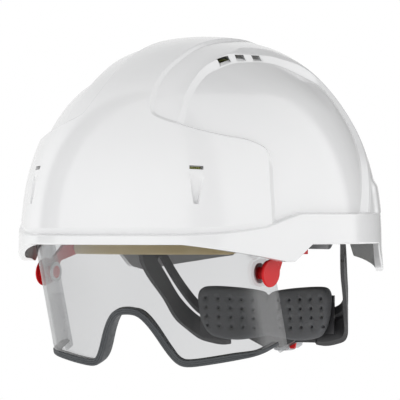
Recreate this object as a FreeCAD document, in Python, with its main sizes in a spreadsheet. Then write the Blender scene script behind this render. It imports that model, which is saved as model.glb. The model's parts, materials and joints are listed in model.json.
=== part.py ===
import FreeCAD, Part
import math
import os

import Sketcher

# Safety helmet with a retractable lens, in millimetres.
# +Z is up, the wearer faces -Y and the wearer's left is +X.
# The origin lies on the symmetry plane, in the plane of the front brim's lower edge,
# above the middle of the head.

os.makedirs("parts", exist_ok=True)
doc = FreeCAD.newDocument("safety_helmet")
sheet = doc.addObject("Spreadsheet::Sheet", "dims")

DIMENSIONS = {
    # shell
    "crown_height": 132.7,
    "half_width": 107.0,
    "half_length": 136.5,
    "dome_power": 2.2,
    "wall": 2.6,
    "skirt_depth": 25.0,
    "panel_recess": 3.5,
    "band_side_rise": 1.5,
    "band_end_rise": 2.5,
    "band_top": 19.6,
    "slot_length": 30.0,
    "slot_width": 5.0,
    "slot_depth": 18.0,
    "slot_outer_side": 102.0,
    # lens and its arms
    "lens_wall": 2.2,
    "lens_front_radius": 135.0,
    "lens_corner_radius": 21.0,
    "lens_front_angle": 29.8,
    "lens_side_angle": 82.0,
    "lens_side_length": 20.2,
    "lens_rake": 19.0,
    "lens_front": 107.8,
    "arm_side": 80.5,
    "arm_wall": 2.0,
    "arm_boss_radius": 8.0,
    "swing_back": 30.0,
    "swing_up": 10.0,
    "hinge_radius": 3.0,
    "running_gap": 0.05,
    "cap_front": 55.7,
    "cap_down": 18.0,
    "cap_length": 22.0,
    "cap_height": 17.5,
    "cap_wall": 1.1,
    "cap_slant": 12.0,
    "stem_radius": 4.0,
    # harness
    "headband_half_width": 80.0,
    "headband_half_length": 94.5,
    "headband_back": 5.0,
    "headband_wall": 2.0,
    "headband_bottom": -4.0,
    "headband_height": 26.0,
    "sweatband_skin": 1.2,
    "sweatband_pad": 4.4,
    "sweatband_drop": 2.4,
    "webbing_width": 20.0,
    "webbing_wall": 1.2,
    # size ratchet
    "rack_radius": 90.0,
    "rack_centre": 10.0,
    "rack_wall": 2.6,
    "rack_gap": 0.4,
    "pinion_pitch_radius": 6.0,
    "pinion_height": -54.0,
    "journal_radius": 2.4,
    "spindle_radius": 3.95,
    "housing_half_width": 21.5,
    "housing_half_height": 14.5,
    "housing_front": 94.6,
    "housing_back": 103.0,
    "cover_wall": 1.2,
    "knob_start": 105.4,
    "knob_radius": 17.0,
    "knob_wall": 9.0,
    "flute_radius": 1.8,
    "screw_radius": 1.25,
    "screw_head_radius": 2.2,
}

for row, (alias, value) in enumerate(DIMENSIONS.items(), start=1):
    sheet.set("A%d" % row, alias)
    sheet.set("B%d" % row, str(value))
    sheet.setAlias("B%d" % row, alias)
doc.recompute()

X_AXIS = FreeCAD.Vector(1, 0, 0)
Y_AXIS = FreeCAD.Vector(0, 1, 0)
Z_AXIS = FreeCAD.Vector(0, 0, 1)
# a sketch in the front plane looks along -Y, and one in the side plane looks along +X
PLANE_TURN = {
    "top": FreeCAD.Rotation(),
    "front": FreeCAD.Rotation(X_AXIS, 90),
    "side": FreeCAD.Rotation(Y_AXIS, Z_AXIS, X_AXIS, "XYZ"),
}
ALONG = {
    "x": FreeCAD.Rotation(Z_AXIS, X_AXIS),
    "y": FreeCAD.Rotation(Z_AXIS, Y_AXIS),
    "z": FreeCAD.Rotation(),
}


def size(alias):
    """Return a driving dimension as a number."""
    return float(sheet.get(alias))


def bind(item, prop, value):
    """Give a property a plain value, or bind it to an expression on the sheet."""
    if isinstance(value, str):
        item.setExpression(prop, value)
    else:
        setattr(item, prop, value)


def place(item, at, turn=None):
    """Put an item at a point whose coordinates are numbers or expressions."""
    fixed = [0 if isinstance(value, str) else value for value in at]
    item.Placement = FreeCAD.Placement(FreeCAD.Vector(*fixed), turn or FreeCAD.Rotation())
    for axis, value in zip("xyz", at):
        if isinstance(value, str):
            item.setExpression("Placement.Base." + axis, value)
    return item


def cylinder(name, radius, length, at, along="x"):
    item = doc.addObject("Part::Cylinder", name)
    bind(item, "Radius", radius)
    bind(item, "Height", length)
    return place(item, at, ALONG[along])


def box(name, corner, sides):
    item = doc.addObject("Part::Box", name)
    for prop, value in zip(("Length", "Width", "Height"), sides):
        bind(item, prop, value)
    return place(item, corner)


def cut(name, base, *tools):
    for index, tool in enumerate(tools):
        last = index == len(tools) - 1
        item = doc.addObject("Part::Cut", name if last else "%s_cut%d" % (name, index))
        item.Base = base
        item.Tool = tool
        base = item
    return base


def fuse(name, *shapes):
    item = doc.addObject("Part::MultiFuse", name)
    item.Shapes = list(shapes)
    return item


def common(name, *shapes):
    item = doc.addObject("Part::MultiCommon", name)
    item.Shapes = list(shapes)
    return item


def mirrored(name, source):
    """Return the right-hand twin of a left-hand item."""
    item = doc.addObject("Part::Mirroring", name)
    item.Source = source
    item.Base = FreeCAD.Vector()
    item.Normal = X_AXIS
    return item


def flat(point):
    return FreeCAD.Vector(point[0], point[1], 0)


def draw(sketch, start, steps):
    """Draw a closed outline: each step is ("to", end), ("via", middle, end) or ("curve", points)."""
    here = start
    edges = []
    for step in steps:
        kind = step[0]
        if kind == "to":
            edges.append(Part.LineSegment(flat(here), flat(step[1])))
            here = step[1]
        elif kind == "via":
            edges.append(Part.Arc(flat(here), flat(step[1]), flat(step[2])))
            here = step[2]
        else:
            curve = Part.BSplineCurve()
            curve.interpolate([flat(point) for point in [here] + step[1]])
            edges.append(curve)
            here = step[1][-1]
    if math.dist(here, start) > 1e-6:
        edges.append(Part.LineSegment(flat(here), flat(start)))
    for edge in edges:
        sketch.addGeometry(edge, False)


def prism(name, plane, start, steps, first, length):
    """Extrude a closed outline square to its plane, from one position over a length.

    A front outline runs from its position towards -Y, the others towards +X or +Z.
    """
    sketch = doc.addObject("Sketcher::SketchObject", name + "_outline")
    draw(sketch, start, steps)
    at = {"top": (0, 0, first), "front": (0, first, 0), "side": (first, 0, 0)}[plane]
    place(sketch, at, PLANE_TURN[plane])
    item = doc.addObject("Part::Extrusion", name)
    item.Base = sketch
    item.DirMode = "Normal"
    bind(item, "LengthFwd", length)
    item.Solid = True
    return item


def polygon(points):
    return points[0], [("to", point) for point in points[1:]]


def ellipse_column(name, half_width, half_length, centre_y, bottom, height):
    """An upright elliptic cylinder with its long axis along Y."""
    ring = doc.addObject("Part::Ellipse", name + "_ring")
    bind(ring, "MajorRadius", half_length)
    bind(ring, "MinorRadius", half_width)
    place(ring, (0, centre_y, bottom), FreeCAD.Rotation(Z_AXIS, 90))
    item = doc.addObject("Part::Extrusion", name)
    item.Base = ring
    item.DirMode = "Custom"
    item.Dir = Z_AXIS
    bind(item, "LengthFwd", height)
    item.Solid = True
    return item


def elliptic_ring(name, outside, inside, centre_y, bottom, height):
    outer = ellipse_column(name + "_outer", outside[0], outside[1], centre_y, bottom, height)
    inner = ellipse_column(name + "_inner", inside[0], inside[1], centre_y, bottom, height)
    return cut(name, outer, inner)


def new_body(name):
    return doc.addObject("PartDesign::Body", name)


def body_sketch(body, name, plane):
    """Add a sketch on one of a body's own origin planes: XY_Plane, XZ_Plane or YZ_Plane."""
    sketch = body.newObject("Sketcher::SketchObject", name)
    origin_plane = [item for item in body.Origin.OriginFeatures if item.Role == plane][0]
    sketch.AttachmentSupport = [(origin_plane, "")]
    sketch.MapMode = "FlatFace"
    return sketch


def circle(sketch, radius, centre=(0, 0)):
    """Draw a circle whose radius is an expression on the sheet."""
    index = sketch.addGeometry(Part.Circle(flat(centre), Z_AXIS, 1.0), False)
    sketch.addConstraint(Sketcher.Constraint("DistanceX", -1, 1, index, 3, centre[0]))
    sketch.addConstraint(Sketcher.Constraint("DistanceY", -1, 1, index, 3, centre[1]))
    radius_index = sketch.addConstraint(Sketcher.Constraint("Radius", index, 1.0))
    sketch.setExpression("Constraints[%d]" % radius_index, radius)
    return index


def pad(body, sketch, name, length, midplane=False, reverse=False):
    item = body.newObject("PartDesign::Pad", name)
    item.Profile = sketch
    bind(item, "Length", length)
    item.Midplane = midplane
    item.Reversed = reverse
    return item


def pocket_all(body, sketch, name):
    """Cut a sketch through everything on both sides of its plane."""
    item = body.newObject("PartDesign::Pocket", name)
    item.Profile = sketch
    item.Type = "ThroughAll"
    item.Midplane = True
    return item


# ---------------------------------------------------------------- shell

# share of the full plan size at each section of the dome, from skirt to crown
DOME_SECTIONS = [1, 1, 0.985, 0.95, 0.9, 0.83, 0.75, 0.65, 0.55, 0.45, 0.35, 0.25, 0.15, 0.06]
CROWN_SETBACK = 8.0
DOME_SETBACK = 1.0


def dome(name, side_offset, end_offset, top_offset):
    """The closed dome, grown or shrunk by offsets at its sides, its two ends and its top."""
    sections = []
    for index, share in enumerate(DOME_SECTIONS):
        ring = doc.addObject("Part::Ellipse", "%s_section%d" % (name, index))
        bind(ring, "MajorRadius", "(dims.half_length + %s) * %g" % (end_offset, share))
        bind(ring, "MinorRadius", "(dims.half_width + %s) * %g" % (side_offset, share))
        rise = "pow(1 - pow(%g; dims.dome_power); 1 / dims.dome_power)" % share
        setback = "%g + %g * pow(%s; 4)" % (DOME_SETBACK, CROWN_SETBACK, rise)
        height = "(dims.crown_height + %s) * %s" % (top_offset, rise)
        if index == 0:
            setback = DOME_SETBACK
            height = "-dims.skirt_depth"
        place(ring, (0, setback, height), FreeCAD.Rotation(Z_AXIS, 90))
        sections.append(ring)
    item = doc.addObject("Part::Loft", name)
    item.Sections = sections
    item.Solid = True
    item.Ruled = False
    return item


def even_dome(name, offset):
    return dome(name, offset, offset, offset)


SIDE_REACH = 125.0
# side view (Y, Z) of the recessed D-shaped panel behind the brow, closed along the band
PANEL_START = (-68.5, 19.6)
PANEL_STEPS = [
    ("curve", [(-67.5, 33), (-65, 50), (-64, 57)]),
    ("via", (-64.6, 62.4), (-69.5, 65.6)),
    ("curve", [(-82, 69), (-92, 73), (-97, 76.5)]),
    ("curve", [(-96, 80), (-90, 87), (-71, 103), (-47, 114), (-17, 115.5), (7, 106), (24, 90), (38, 66),
               (41, 34), (40, 19.6)]),
]
# side view of everything below the shell's lower edge
EDGE_FLOOR = -40.0
EDGE_POINTS = [
    (-160, EDGE_FLOOR), (-160, 0), (-117, 0), (-88, -5.5), (-60, -10.8), (-53, -10.8), (-38, 0),
    (57, 0), (61, -8), (68, -15.5), (77, -18.3), (108, -12.5), (125.5, -8.3), (126.5, 0), (160, 0),
    (160, EDGE_FLOOR),
]
# side view of the thick band along the lower edge
BAND_POINTS = [
    (-160, -30), (-160, 6), (-117, 6.5), (-100, 7.6), (-82, 9.6), (-70, 13), (-57, 17), (-47, 19.6),
    (160, 19.6), (160, -30),
]
# ventilation slots on the ledge above each panel: (first Y, last Y, middle Z)
VENTS = [(-47.0, -37.4, 115.0), (-33.6, -22.6, 117.6), (-19.4, -10.4, 118.0)]
VENT_HEIGHT = 3.0
BROW_SLOT = {"x": 57.6, "y": -105.0, "z": 48.2, "length": 8.7, "height": 2.3, "turn": -33.0}

skin = even_dome("skin_outside", "0")
skin_inside = even_dome("skin_inside", "-dims.wall")
panel_skin = even_dome("panel_outside", "-dims.panel_recess")
panel_skin_inside = even_dome("panel_inside", "-dims.panel_recess - dims.wall")
band_skin = dome("band_outside", "dims.band_side_rise", "dims.band_end_rise", "dims.band_side_rise")

panel_zone = prism("panel_zone", "side", PANEL_START, PANEL_STEPS, -SIDE_REACH, 2 * SIDE_REACH)
panel_zone_cut = cut("panel_removed", panel_zone, panel_skin)
skin_with_panels = cut("skin_with_panels", skin, panel_zone_cut)

inner_panel_zone = prism("inner_panel_zone", "side", PANEL_START, PANEL_STEPS, -SIDE_REACH, 2 * SIDE_REACH)
inner_panel_cut = cut("inner_panel_kept", inner_panel_zone, panel_skin_inside)
hollow = cut("hollow", skin_inside, inner_panel_cut)

band_start, band_steps = polygon(BAND_POINTS)
band_zone = prism("band_zone", "side", band_start, band_steps, -SIDE_REACH, 2 * SIDE_REACH)
band = common("band", band_skin, band_zone)
shell_body = fuse("shell_body", skin_with_panels, band)
shell_hollowed = cut("shell_hollowed", shell_body, hollow)

# a pocket wall inside each side makes the downward-opening accessory slot
POCKET_FRONT = -24.0
POCKET_WALL = 2.0
pocket_blocks = []
pocket_slots = []
for side, sign in (("left", 1), ("right", -1)):
    inner_side = "dims.slot_outer_side - dims.slot_width - %g" % POCKET_WALL
    block = box(
        side + "_pocket_block",
        (inner_side if sign > 0 else "-dims.slot_outer_side - 2", POCKET_FRONT, 0),
        ("dims.slot_width + 2 + %g" % POCKET_WALL, "dims.slot_length + %g" % (2 * POCKET_WALL), 20))
    slot = box(
        side + "_pocket_slot",
        ("dims.slot_outer_side - dims.slot_width" if sign > 0 else "-dims.slot_outer_side",
         POCKET_FRONT + POCKET_WALL, -1),
        ("dims.slot_width", "dims.slot_length", "dims.slot_depth + 1"))
    pocket_blocks.append(block)
    pocket_slots.append(slot)
shell_pocketed = fuse("shell_pocketed", shell_hollowed, *pocket_blocks)

edge_start, edge_steps = polygon(EDGE_POINTS)
below_edge = prism("below_edge", "side", edge_start, edge_steps, -SIDE_REACH, 2 * SIDE_REACH)

openings = [below_edge] + pocket_slots
for index, (first, last, middle) in enumerate(VENTS):
    for side, start_x in (("left", 30.0), ("right", -60.0)):
        openings.append(box(
            "%s_vent_%d" % (side, index),
            (start_x, first, middle - VENT_HEIGHT / 2),
            (30, last - first, VENT_HEIGHT)))
for side, sign in (("left", 1), ("right", -1)):
    slot = doc.addObject("Part::Box", side + "_brow_slot")
    slot.Length = BROW_SLOT["length"]
    slot.Width = 20
    slot.Height = BROW_SLOT["height"]
    turn = FreeCAD.Rotation(Z_AXIS, -sign * BROW_SLOT["turn"])
    corner = FreeCAD.Vector(-BROW_SLOT["length"] / 2, -10, -BROW_SLOT["height"] / 2)
    middle = FreeCAD.Vector(sign * BROW_SLOT["x"], BROW_SLOT["y"], BROW_SLOT["z"])
    slot.Placement = FreeCAD.Placement(middle + turn.multVec(corner), turn)
    openings.append(slot)
shell = cut("shell", shell_pocketed, *openings)

# ---------------------------------------------------------------- lens, in its own upright frame

FRONT_ANGLE = math.radians(size("lens_front_angle"))
SIDE_ANGLE = math.radians(size("lens_side_angle"))
LENS_TOP_LIMIT = 14.0
LENS_BOTTOM_LIMIT = -96.0


def around(centre, radius, angle):
    """The point of an arc at an angle that grows from straight ahead towards the left side."""
    return (centre[0] + radius * math.sin(angle), centre[1] - radius * math.cos(angle))


def lens_plan(offset):
    """Left half of the plan outline, moved inwards: front point, arc points and the rear end."""
    front_centre = (0, size("lens_front_radius"))
    centre_spacing = size("lens_front_radius") - size("lens_corner_radius")
    corner_centre = around(front_centre, centre_spacing, FRONT_ANGLE)
    front_radius = size("lens_front_radius") - offset
    corner_radius = size("lens_corner_radius") - offset
    join = around(front_centre, front_radius, FRONT_ANGLE)
    corner_middle = around(corner_centre, corner_radius, (FRONT_ANGLE + SIDE_ANGLE) / 2)
    corner_end = around(corner_centre, corner_radius, SIDE_ANGLE)
    reach = size("lens_side_length")
    rear = (corner_end[0] + reach * math.cos(SIDE_ANGLE), corner_end[1] + reach * math.sin(SIDE_ANGLE))
    return {"front": (0, offset), "join": join, "corner": corner_middle, "turn": corner_end, "rear": rear}


def flip(point):
    return (-point[0], point[1])


def lens_wall(name, outside, inside, bottom, height):
    """A wall that follows the lens in plan, between two inward offsets."""
    outer = lens_plan(outside)
    inner = lens_plan(inside)
    steps = [
        ("to", outer["turn"]), ("via", outer["corner"], outer["join"]),
        ("via", outer["front"], flip(outer["join"])), ("via", flip(outer["corner"]), flip(outer["turn"])),
        ("to", flip(outer["rear"])), ("to", flip(inner["rear"])), ("to", flip(inner["turn"])),
        ("via", flip(inner["corner"]), flip(inner["join"])), ("via", inner["front"], inner["join"]),
        ("via", inner["corner"], inner["turn"]), ("to", inner["rear"]),
    ]
    return prism(name, "top", outer["rear"], steps, bottom, height)


# front view (X, Z) of half the lens's bottom edge, from the top of the nose arch outwards
NOSE_CURVE = [(0, -45.0), (9, -47.0), (18.9, -58.6), (26.6, -72.8), (35, -82.4)]
BOTTOM_CORNER = (68, -80.6)
SIDE_END = (90, -81.0)


def bottom_edge(shift, spread):
    """Front view of the bottom edge from right to left, moved down and away from the nose arch."""
    nose = [(x - spread if x > 0 else 0, z - shift) for x, z in NOSE_CURVE]
    corner = (BOTTOM_CORNER[0], BOTTOM_CORNER[1] - shift)
    end = (SIDE_END[0], SIDE_END[1] - shift)
    left = nose[::-1]
    return end, corner, left + [flip(point) for point in nose[1:]]


def below_lens_edge(name, shift, spread, depth):
    """Everything between the moved bottom edge and a flat floor."""
    end, corner, curve = bottom_edge(shift, spread)
    steps = [
        ("to", corner), ("to", curve[0]), ("curve", curve[1:]), ("to", flip(corner)), ("to", flip(end)),
        ("to", (-90, depth)), ("to", (90, depth)),
    ]
    return prism(name, "front", end, steps, 80, 100)


lens_blank = lens_wall(
    "lens_blank", 0, size("lens_wall"), LENS_BOTTOM_LIMIT, LENS_TOP_LIMIT - LENS_BOTTOM_LIMIT)
under_lens = below_lens_edge("under_lens", 0, 0, LENS_BOTTOM_LIMIT - 5)
# the rear end of each side keeps a short tab below the bottom edge
TAB_START = 45.0
TAB_BOTTOM = -88.0
tab_zone = box("lens_tab_zone", (-90, TAB_START, TAB_BOTTOM), (180, 20, 20))
under_lens_kept = cut("under_lens_kept", under_lens, tab_zone)
top_start, top_steps = polygon([
    (-10, 30), (-10, 9), (7.7, 5.8), (23, -9), (60, -21.5), (60, 30)])
over_lens = prism("over_lens", "side", top_start, top_steps, -90, 180)
# each side's pivot hole, seen in the lens's own frame
RAKE = math.radians(size("lens_rake"))
cap_ahead = size("lens_front") - size("cap_front")
PIVOT_Y = cap_ahead * math.cos(RAKE) - size("cap_down") * math.sin(RAKE)
PIVOT_Z = -cap_ahead * math.sin(RAKE) - size("cap_down") * math.cos(RAKE)
pivot_holes = cylinder(
    "lens_pivot_holes", "dims.stem_radius + dims.running_gap", 200, (-100, PIVOT_Y, PIVOT_Z))
lens = cut("lens", lens_blank, under_lens_kept, over_lens, pivot_holes)

SEAL_OUTSIDE = -0.8
SEAL_INSIDE = 2.6
SEAL_DROP = 1.6
SEAL_RISE = 3.4
NOSE_FLANGE = 7.0
NOSE_FLANGE_HALF = 34.0
seal_wall = lens_wall(
    "seal_wall", SEAL_OUTSIDE, size("lens_wall") + SEAL_INSIDE, LENS_BOTTOM_LIMIT, 60)
nose_wall = lens_wall(
    "nose_wall", SEAL_OUTSIDE, size("lens_wall") + NOSE_FLANGE, LENS_BOTTOM_LIMIT, 60)
nose_zone = box("nose_zone", (-NOSE_FLANGE_HALF, -5, LENS_BOTTOM_LIMIT), (2 * NOSE_FLANGE_HALF, 30, 60))
nose_part = common("nose_part", nose_wall, nose_zone)
seal_stock = fuse("seal_stock", seal_wall, nose_part)
seal_upper = below_lens_edge("seal_upper", -SEAL_RISE, -SEAL_RISE, LENS_BOTTOM_LIMIT - 5)
seal_lower = below_lens_edge("seal_lower", SEAL_DROP, SEAL_DROP, LENS_BOTTOM_LIMIT - 6)
seal_band = cut("seal_band", seal_upper, seal_lower)
seal_shape = common("seal_shape", seal_stock, seal_band)
seal_rear = box("seal_rear", (-90, TAB_START - 1, LENS_BOTTOM_LIMIT), (180, 30, 60))
lens_seal = cut("lens_seal", seal_shape, seal_rear, cut(
    "lens_for_seal", lens_blank, under_lens_kept))

lens_turn = FreeCAD.Rotation(X_AXIS, size("lens_rake"))
for item in (lens, lens_seal):
    place(item, (0, "-dims.lens_front", 0), lens_turn)

# ---------------------------------------------------------------- lens arms and their hinges

# side view (Y, Z) of the arm between its two bosses
ARM_POINTS = [
    (-58, -25), (-48, -24), (-40, -11), (-18.6, -6.4), (-7, -6.4), (-7, 2), (30, 2), (30, 18),
    (-20, 10), (-50, -10), (-58, -11),
]
HINGE_AT = ("dims.swing_back", "dims.swing_up")
CAP_AT = ("-dims.cap_front", "-dims.cap_down")
arm_start, arm_steps = polygon(ARM_POINTS)
arm_plate = prism("arm_plate", "side", arm_start, arm_steps, "dims.arm_side", "dims.arm_wall")
arm_hinge_boss = cylinder(
    "arm_hinge_boss", "dims.arm_boss_radius", "dims.arm_wall", ("dims.arm_side",) + HINGE_AT)
arm_cap_boss = cylinder(
    "arm_cap_boss", "dims.arm_boss_radius", "dims.arm_wall", ("dims.arm_side",) + CAP_AT)
SPACER = 0.55
arm_spacer = cylinder("arm_spacer", 6.0, SPACER, ("dims.arm_side - %g" % SPACER,) + CAP_AT)
arm_blank = fuse("arm_blank", arm_plate, arm_hinge_boss, arm_cap_boss, arm_spacer)
arm_hinge_bore = cylinder(
    "arm_hinge_bore", "dims.hinge_radius + dims.running_gap", 20, ("dims.arm_side - 5",) + HINGE_AT)
arm_cap_bore = cylinder("arm_cap_bore", "dims.stem_radius", 20, ("dims.arm_side - 5",) + CAP_AT)
left_lens_arm = cut("left_lens_arm", arm_blank, arm_hinge_bore, arm_cap_bore)

CAP_ROUND = 0.7
STEM_END = 74.2
cap_ring = doc.addObject("Part::Ellipse", "cap_ring")
bind(cap_ring, "MajorRadius", "dims.cap_length / 2")
bind(cap_ring, "MinorRadius", "dims.cap_height / 2")
cap_turn = PLANE_TURN["side"].multiply(FreeCAD.Rotation(Z_AXIS, size("cap_slant")))
place(cap_ring, ("dims.arm_side + dims.arm_wall",) + CAP_AT, cap_turn)
cap_disc = doc.addObject("Part::Extrusion", "cap_disc")
cap_disc.Base = cap_ring
cap_disc.DirMode = "Custom"
cap_disc.Dir = X_AXIS
bind(cap_disc, "LengthFwd", "dims.cap_wall")
cap_disc.Solid = True
doc.recompute([cap_ring, cap_disc])
cap_face_side = size("arm_side") + size("arm_wall") + size("cap_wall")
outer_edge = [
    index for index, edge in enumerate(cap_disc.Shape.Edges, start=1)
    if abs(edge.BoundBox.XMin - cap_face_side) < 1e-3][0]
cap_rounded = doc.addObject("Part::Fillet", "cap_rounded")
cap_rounded.Base = cap_disc
cap_rounded.Edges = [(outer_edge, CAP_ROUND, CAP_ROUND)]
cap_stem = cylinder(
    "cap_stem", "dims.stem_radius", "dims.arm_side + dims.arm_wall - %g" % STEM_END,
    (STEM_END,) + CAP_AT)
left_pivot_cap = fuse("left_pivot_cap", cap_rounded, cap_stem)

CLIP_RADIUS = 6.4
CLIP_WALL = 1.0
clip_disc = cylinder("clip_disc", CLIP_RADIUS, CLIP_WALL, (STEM_END + 0.1,) + CAP_AT)
clip_bore = cylinder("clip_bore", "dims.stem_radius", 10, (STEM_END - 5,) + CAP_AT)
left_retaining_clip = cut("left_retaining_clip", clip_disc, clip_bore)

PIN_HEAD_RADIUS = 4.5
PIN_HEAD_WALL = 1.6
PIN_END = 94.0
WASHER_WALL = 0.8
SIDE_GAP = 0.1
pin_start = size("arm_side") - SIDE_GAP - PIN_HEAD_WALL
pin_head = cylinder("pin_head", PIN_HEAD_RADIUS, PIN_HEAD_WALL, (pin_start,) + HINGE_AT)
pin_shank = cylinder("pin_shank", "dims.hinge_radius", PIN_END - pin_start, (pin_start,) + HINGE_AT)
left_hinge_pin = fuse("left_hinge_pin", pin_head, pin_shank)

washer_start = "dims.arm_side + dims.arm_wall + %g" % SIDE_GAP
washer_disc = cylinder("washer_disc", "dims.arm_boss_radius", WASHER_WALL, (washer_start,) + HINGE_AT)
washer_bore = cylinder("washer_bore", "dims.hinge_radius", 20, ("dims.arm_side - 5",) + HINGE_AT)
left_friction_washer = cut("left_friction_washer", washer_disc, washer_bore)

BRACKET_HALF = 10.0
BRACKET_BOTTOM = 1.5
BRACKET_HEIGHT = 17.5
BRACKET_OUTSIDE = 110.0
bracket_start = size("arm_side") + size("arm_wall") + SIDE_GAP + WASHER_WALL
bracket_block = box(
    "bracket_block",
    (bracket_start, "dims.swing_back - %g" % BRACKET_HALF, BRACKET_BOTTOM),
    (BRACKET_OUTSIDE - bracket_start, 2 * BRACKET_HALF, BRACKET_HEIGHT))
bracket_bore = cylinder("bracket_bore", "dims.hinge_radius", PIN_END - pin_start, (pin_start,) + HINGE_AT)
bracket_fitted = common("bracket_fitted", bracket_block, hollow)
left_hinge_bracket = cut("left_hinge_bracket", bracket_fitted, bracket_bore)

# ---------------------------------------------------------------- headband and harness

FRONT_TAB_BACK = -13.0
SIDE_TAB_BACK = 37.0
TAB_WIDTH = 14.0
# front view (X, Z) of the hanger tabs, and the rear one seen along its own plane
FRONT_TAB = [
    (75.0, 16), (77.9, 16), (78.6, 48), (84.6, 54), (84.6, 70), (82.2, 70), (82.2, 60.5), (71.5, 60.5),
    (71.5, 58), (76.2, 56), (76.2, 50),
]
SIDE_TAB = [
    (74.6, 16), (77.9, 16), (79.0, 34), (85.8, 46), (85.8, 60), (83.4, 60), (83.4, 48), (76.6, 35),
]
REAR_TAB_REACH = 21.0
REAR_TAB = [
    (-1.6, 11), (1.0, 11), (REAR_TAB_REACH, 33), (REAR_TAB_REACH, 45), (18.6, 45), (18.6, 35), (-1.6, 14.4),
]
REAR_TAB_AT = (51.4, 77.4)
REAR_TAB_TURN = 45.0

headband_ring = elliptic_ring(
    "headband_ring",
    ("dims.headband_half_width", "dims.headband_half_length"),
    ("dims.headband_half_width - dims.headband_wall", "dims.headband_half_length - dims.headband_wall"),
    "dims.headband_back", "dims.headband_bottom", "dims.headband_height")
tabs = []
for name, outline, back in (
        ("front_tab", FRONT_TAB, FRONT_TAB_BACK), ("side_tab", SIDE_TAB, SIDE_TAB_BACK)):
    start, steps = polygon(outline)
    tabs.append(prism(name, "front", start, steps, back, TAB_WIDTH))
start, steps = polygon(REAR_TAB)
rear_tab_flat = prism("rear_tab_flat", "front", start, steps, TAB_WIDTH / 2, TAB_WIDTH)
rear_tab = place(
    fuse("rear_tab", rear_tab_flat, box("rear_tab_root", (-1.6, -TAB_WIDTH / 2, 11), (1, TAB_WIDTH, 3))),
    REAR_TAB_AT + (0,), FreeCAD.Rotation(Z_AXIS, REAR_TAB_TURN))
tabs.append(rear_tab)
left_tabs = fuse("left_tabs", *tabs)
right_tabs = mirrored("right_tabs", left_tabs)
# each nape strap has a stud that slides in a slot of the band
STUD_ANGLE = 61.0
STUD_HEIGHT = 2.0
STUD_RADIUS = 2.2
SLOT_MIDDLE_ANGLE = 60.0
STUD_SLOT_LENGTH = 22.0
STUD_SLOT_HEIGHT = 5.0
stud_slots = []
for side, sign in (("left", 1), ("right", -1)):
    slot = doc.addObject("Part::Box", side + "_stud_slot")
    slot.Length = STUD_SLOT_LENGTH
    slot.Width = 16
    slot.Height = STUD_SLOT_HEIGHT
    turn = FreeCAD.Rotation(Z_AXIS, -sign * SLOT_MIDDLE_ANGLE)
    corner = FreeCAD.Vector(
        -STUD_SLOT_LENGTH / 2, size("headband_half_width") - 8, STUD_HEIGHT - STUD_SLOT_HEIGHT / 2)
    middle = FreeCAD.Vector(0, size("rack_centre"), 0)
    slot.Placement = FreeCAD.Placement(middle + turn.multVec(corner), turn)
    stud_slots.append(slot)
headband = cut("headband", fuse("headband_whole", headband_ring, left_tabs, right_tabs), *stud_slots)

# the brow pad wraps the lower edge of the band's front half
SWEATBAND_END = -55.0
SWEATBAND_TOP = 23.0
sweat_outer = ellipse_column(
    "sweat_outer", "dims.headband_half_width + dims.sweatband_skin",
    "dims.headband_half_length + dims.sweatband_skin", "dims.headband_back",
    "dims.headband_bottom - dims.sweatband_drop",
    "%g - dims.headband_bottom + dims.sweatband_drop" % SWEATBAND_TOP)
sweat_inner = ellipse_column(
    "sweat_inner", "dims.headband_half_width - dims.headband_wall - dims.sweatband_pad",
    "dims.headband_half_length - dims.headband_wall - dims.sweatband_pad", "dims.headband_back",
    "dims.headband_bottom - 10", 60)
sweat_front = box("sweat_front", (-90, -110, -30), (180, 110 + SWEATBAND_END, 80))
sweat_core = elliptic_ring(
    "sweat_core",
    ("dims.headband_half_width", "dims.headband_half_length"),
    ("dims.headband_half_width - dims.headband_wall", "dims.headband_half_length - dims.headband_wall"),
    "dims.headband_back", "dims.headband_bottom", 60)
sweatband = cut(
    "sweatband", common("sweat_half", cut("sweat_tube", sweat_outer, sweat_inner), sweat_front), sweat_core)

# hanger keys join the tabs to the shell: box corner (x, y, z) and sides
KEY_BLOCKS = {
    "front_key": ((84.6, -26, 60), (10, 12, 9)),
    "side_key": ((85.8, 24, 48), (10, 12, 11)),
}
key_parts = []
for name, (corner, sides) in KEY_BLOCKS.items():
    key_parts.append(box(name, corner, sides))
REAR_KEY_SIDES = (14, 12, 9)
rear_key = box("rear_key", (0, 0, 0), REAR_KEY_SIDES)
rear_turn = FreeCAD.Rotation(Z_AXIS, REAR_TAB_TURN)
rear_key_reach = rear_turn.multVec(FreeCAD.Vector(REAR_TAB_REACH, -6, 35))
rear_key_at = FreeCAD.Vector(REAR_TAB_AT[0], REAR_TAB_AT[1], 0) + rear_key_reach
rear_key.Placement = FreeCAD.Placement(rear_key_at, rear_turn)
key_parts.append(rear_key)
left_harness_keys = common("left_harness_keys", fuse("left_key_blocks", *key_parts), hollow)

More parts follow.
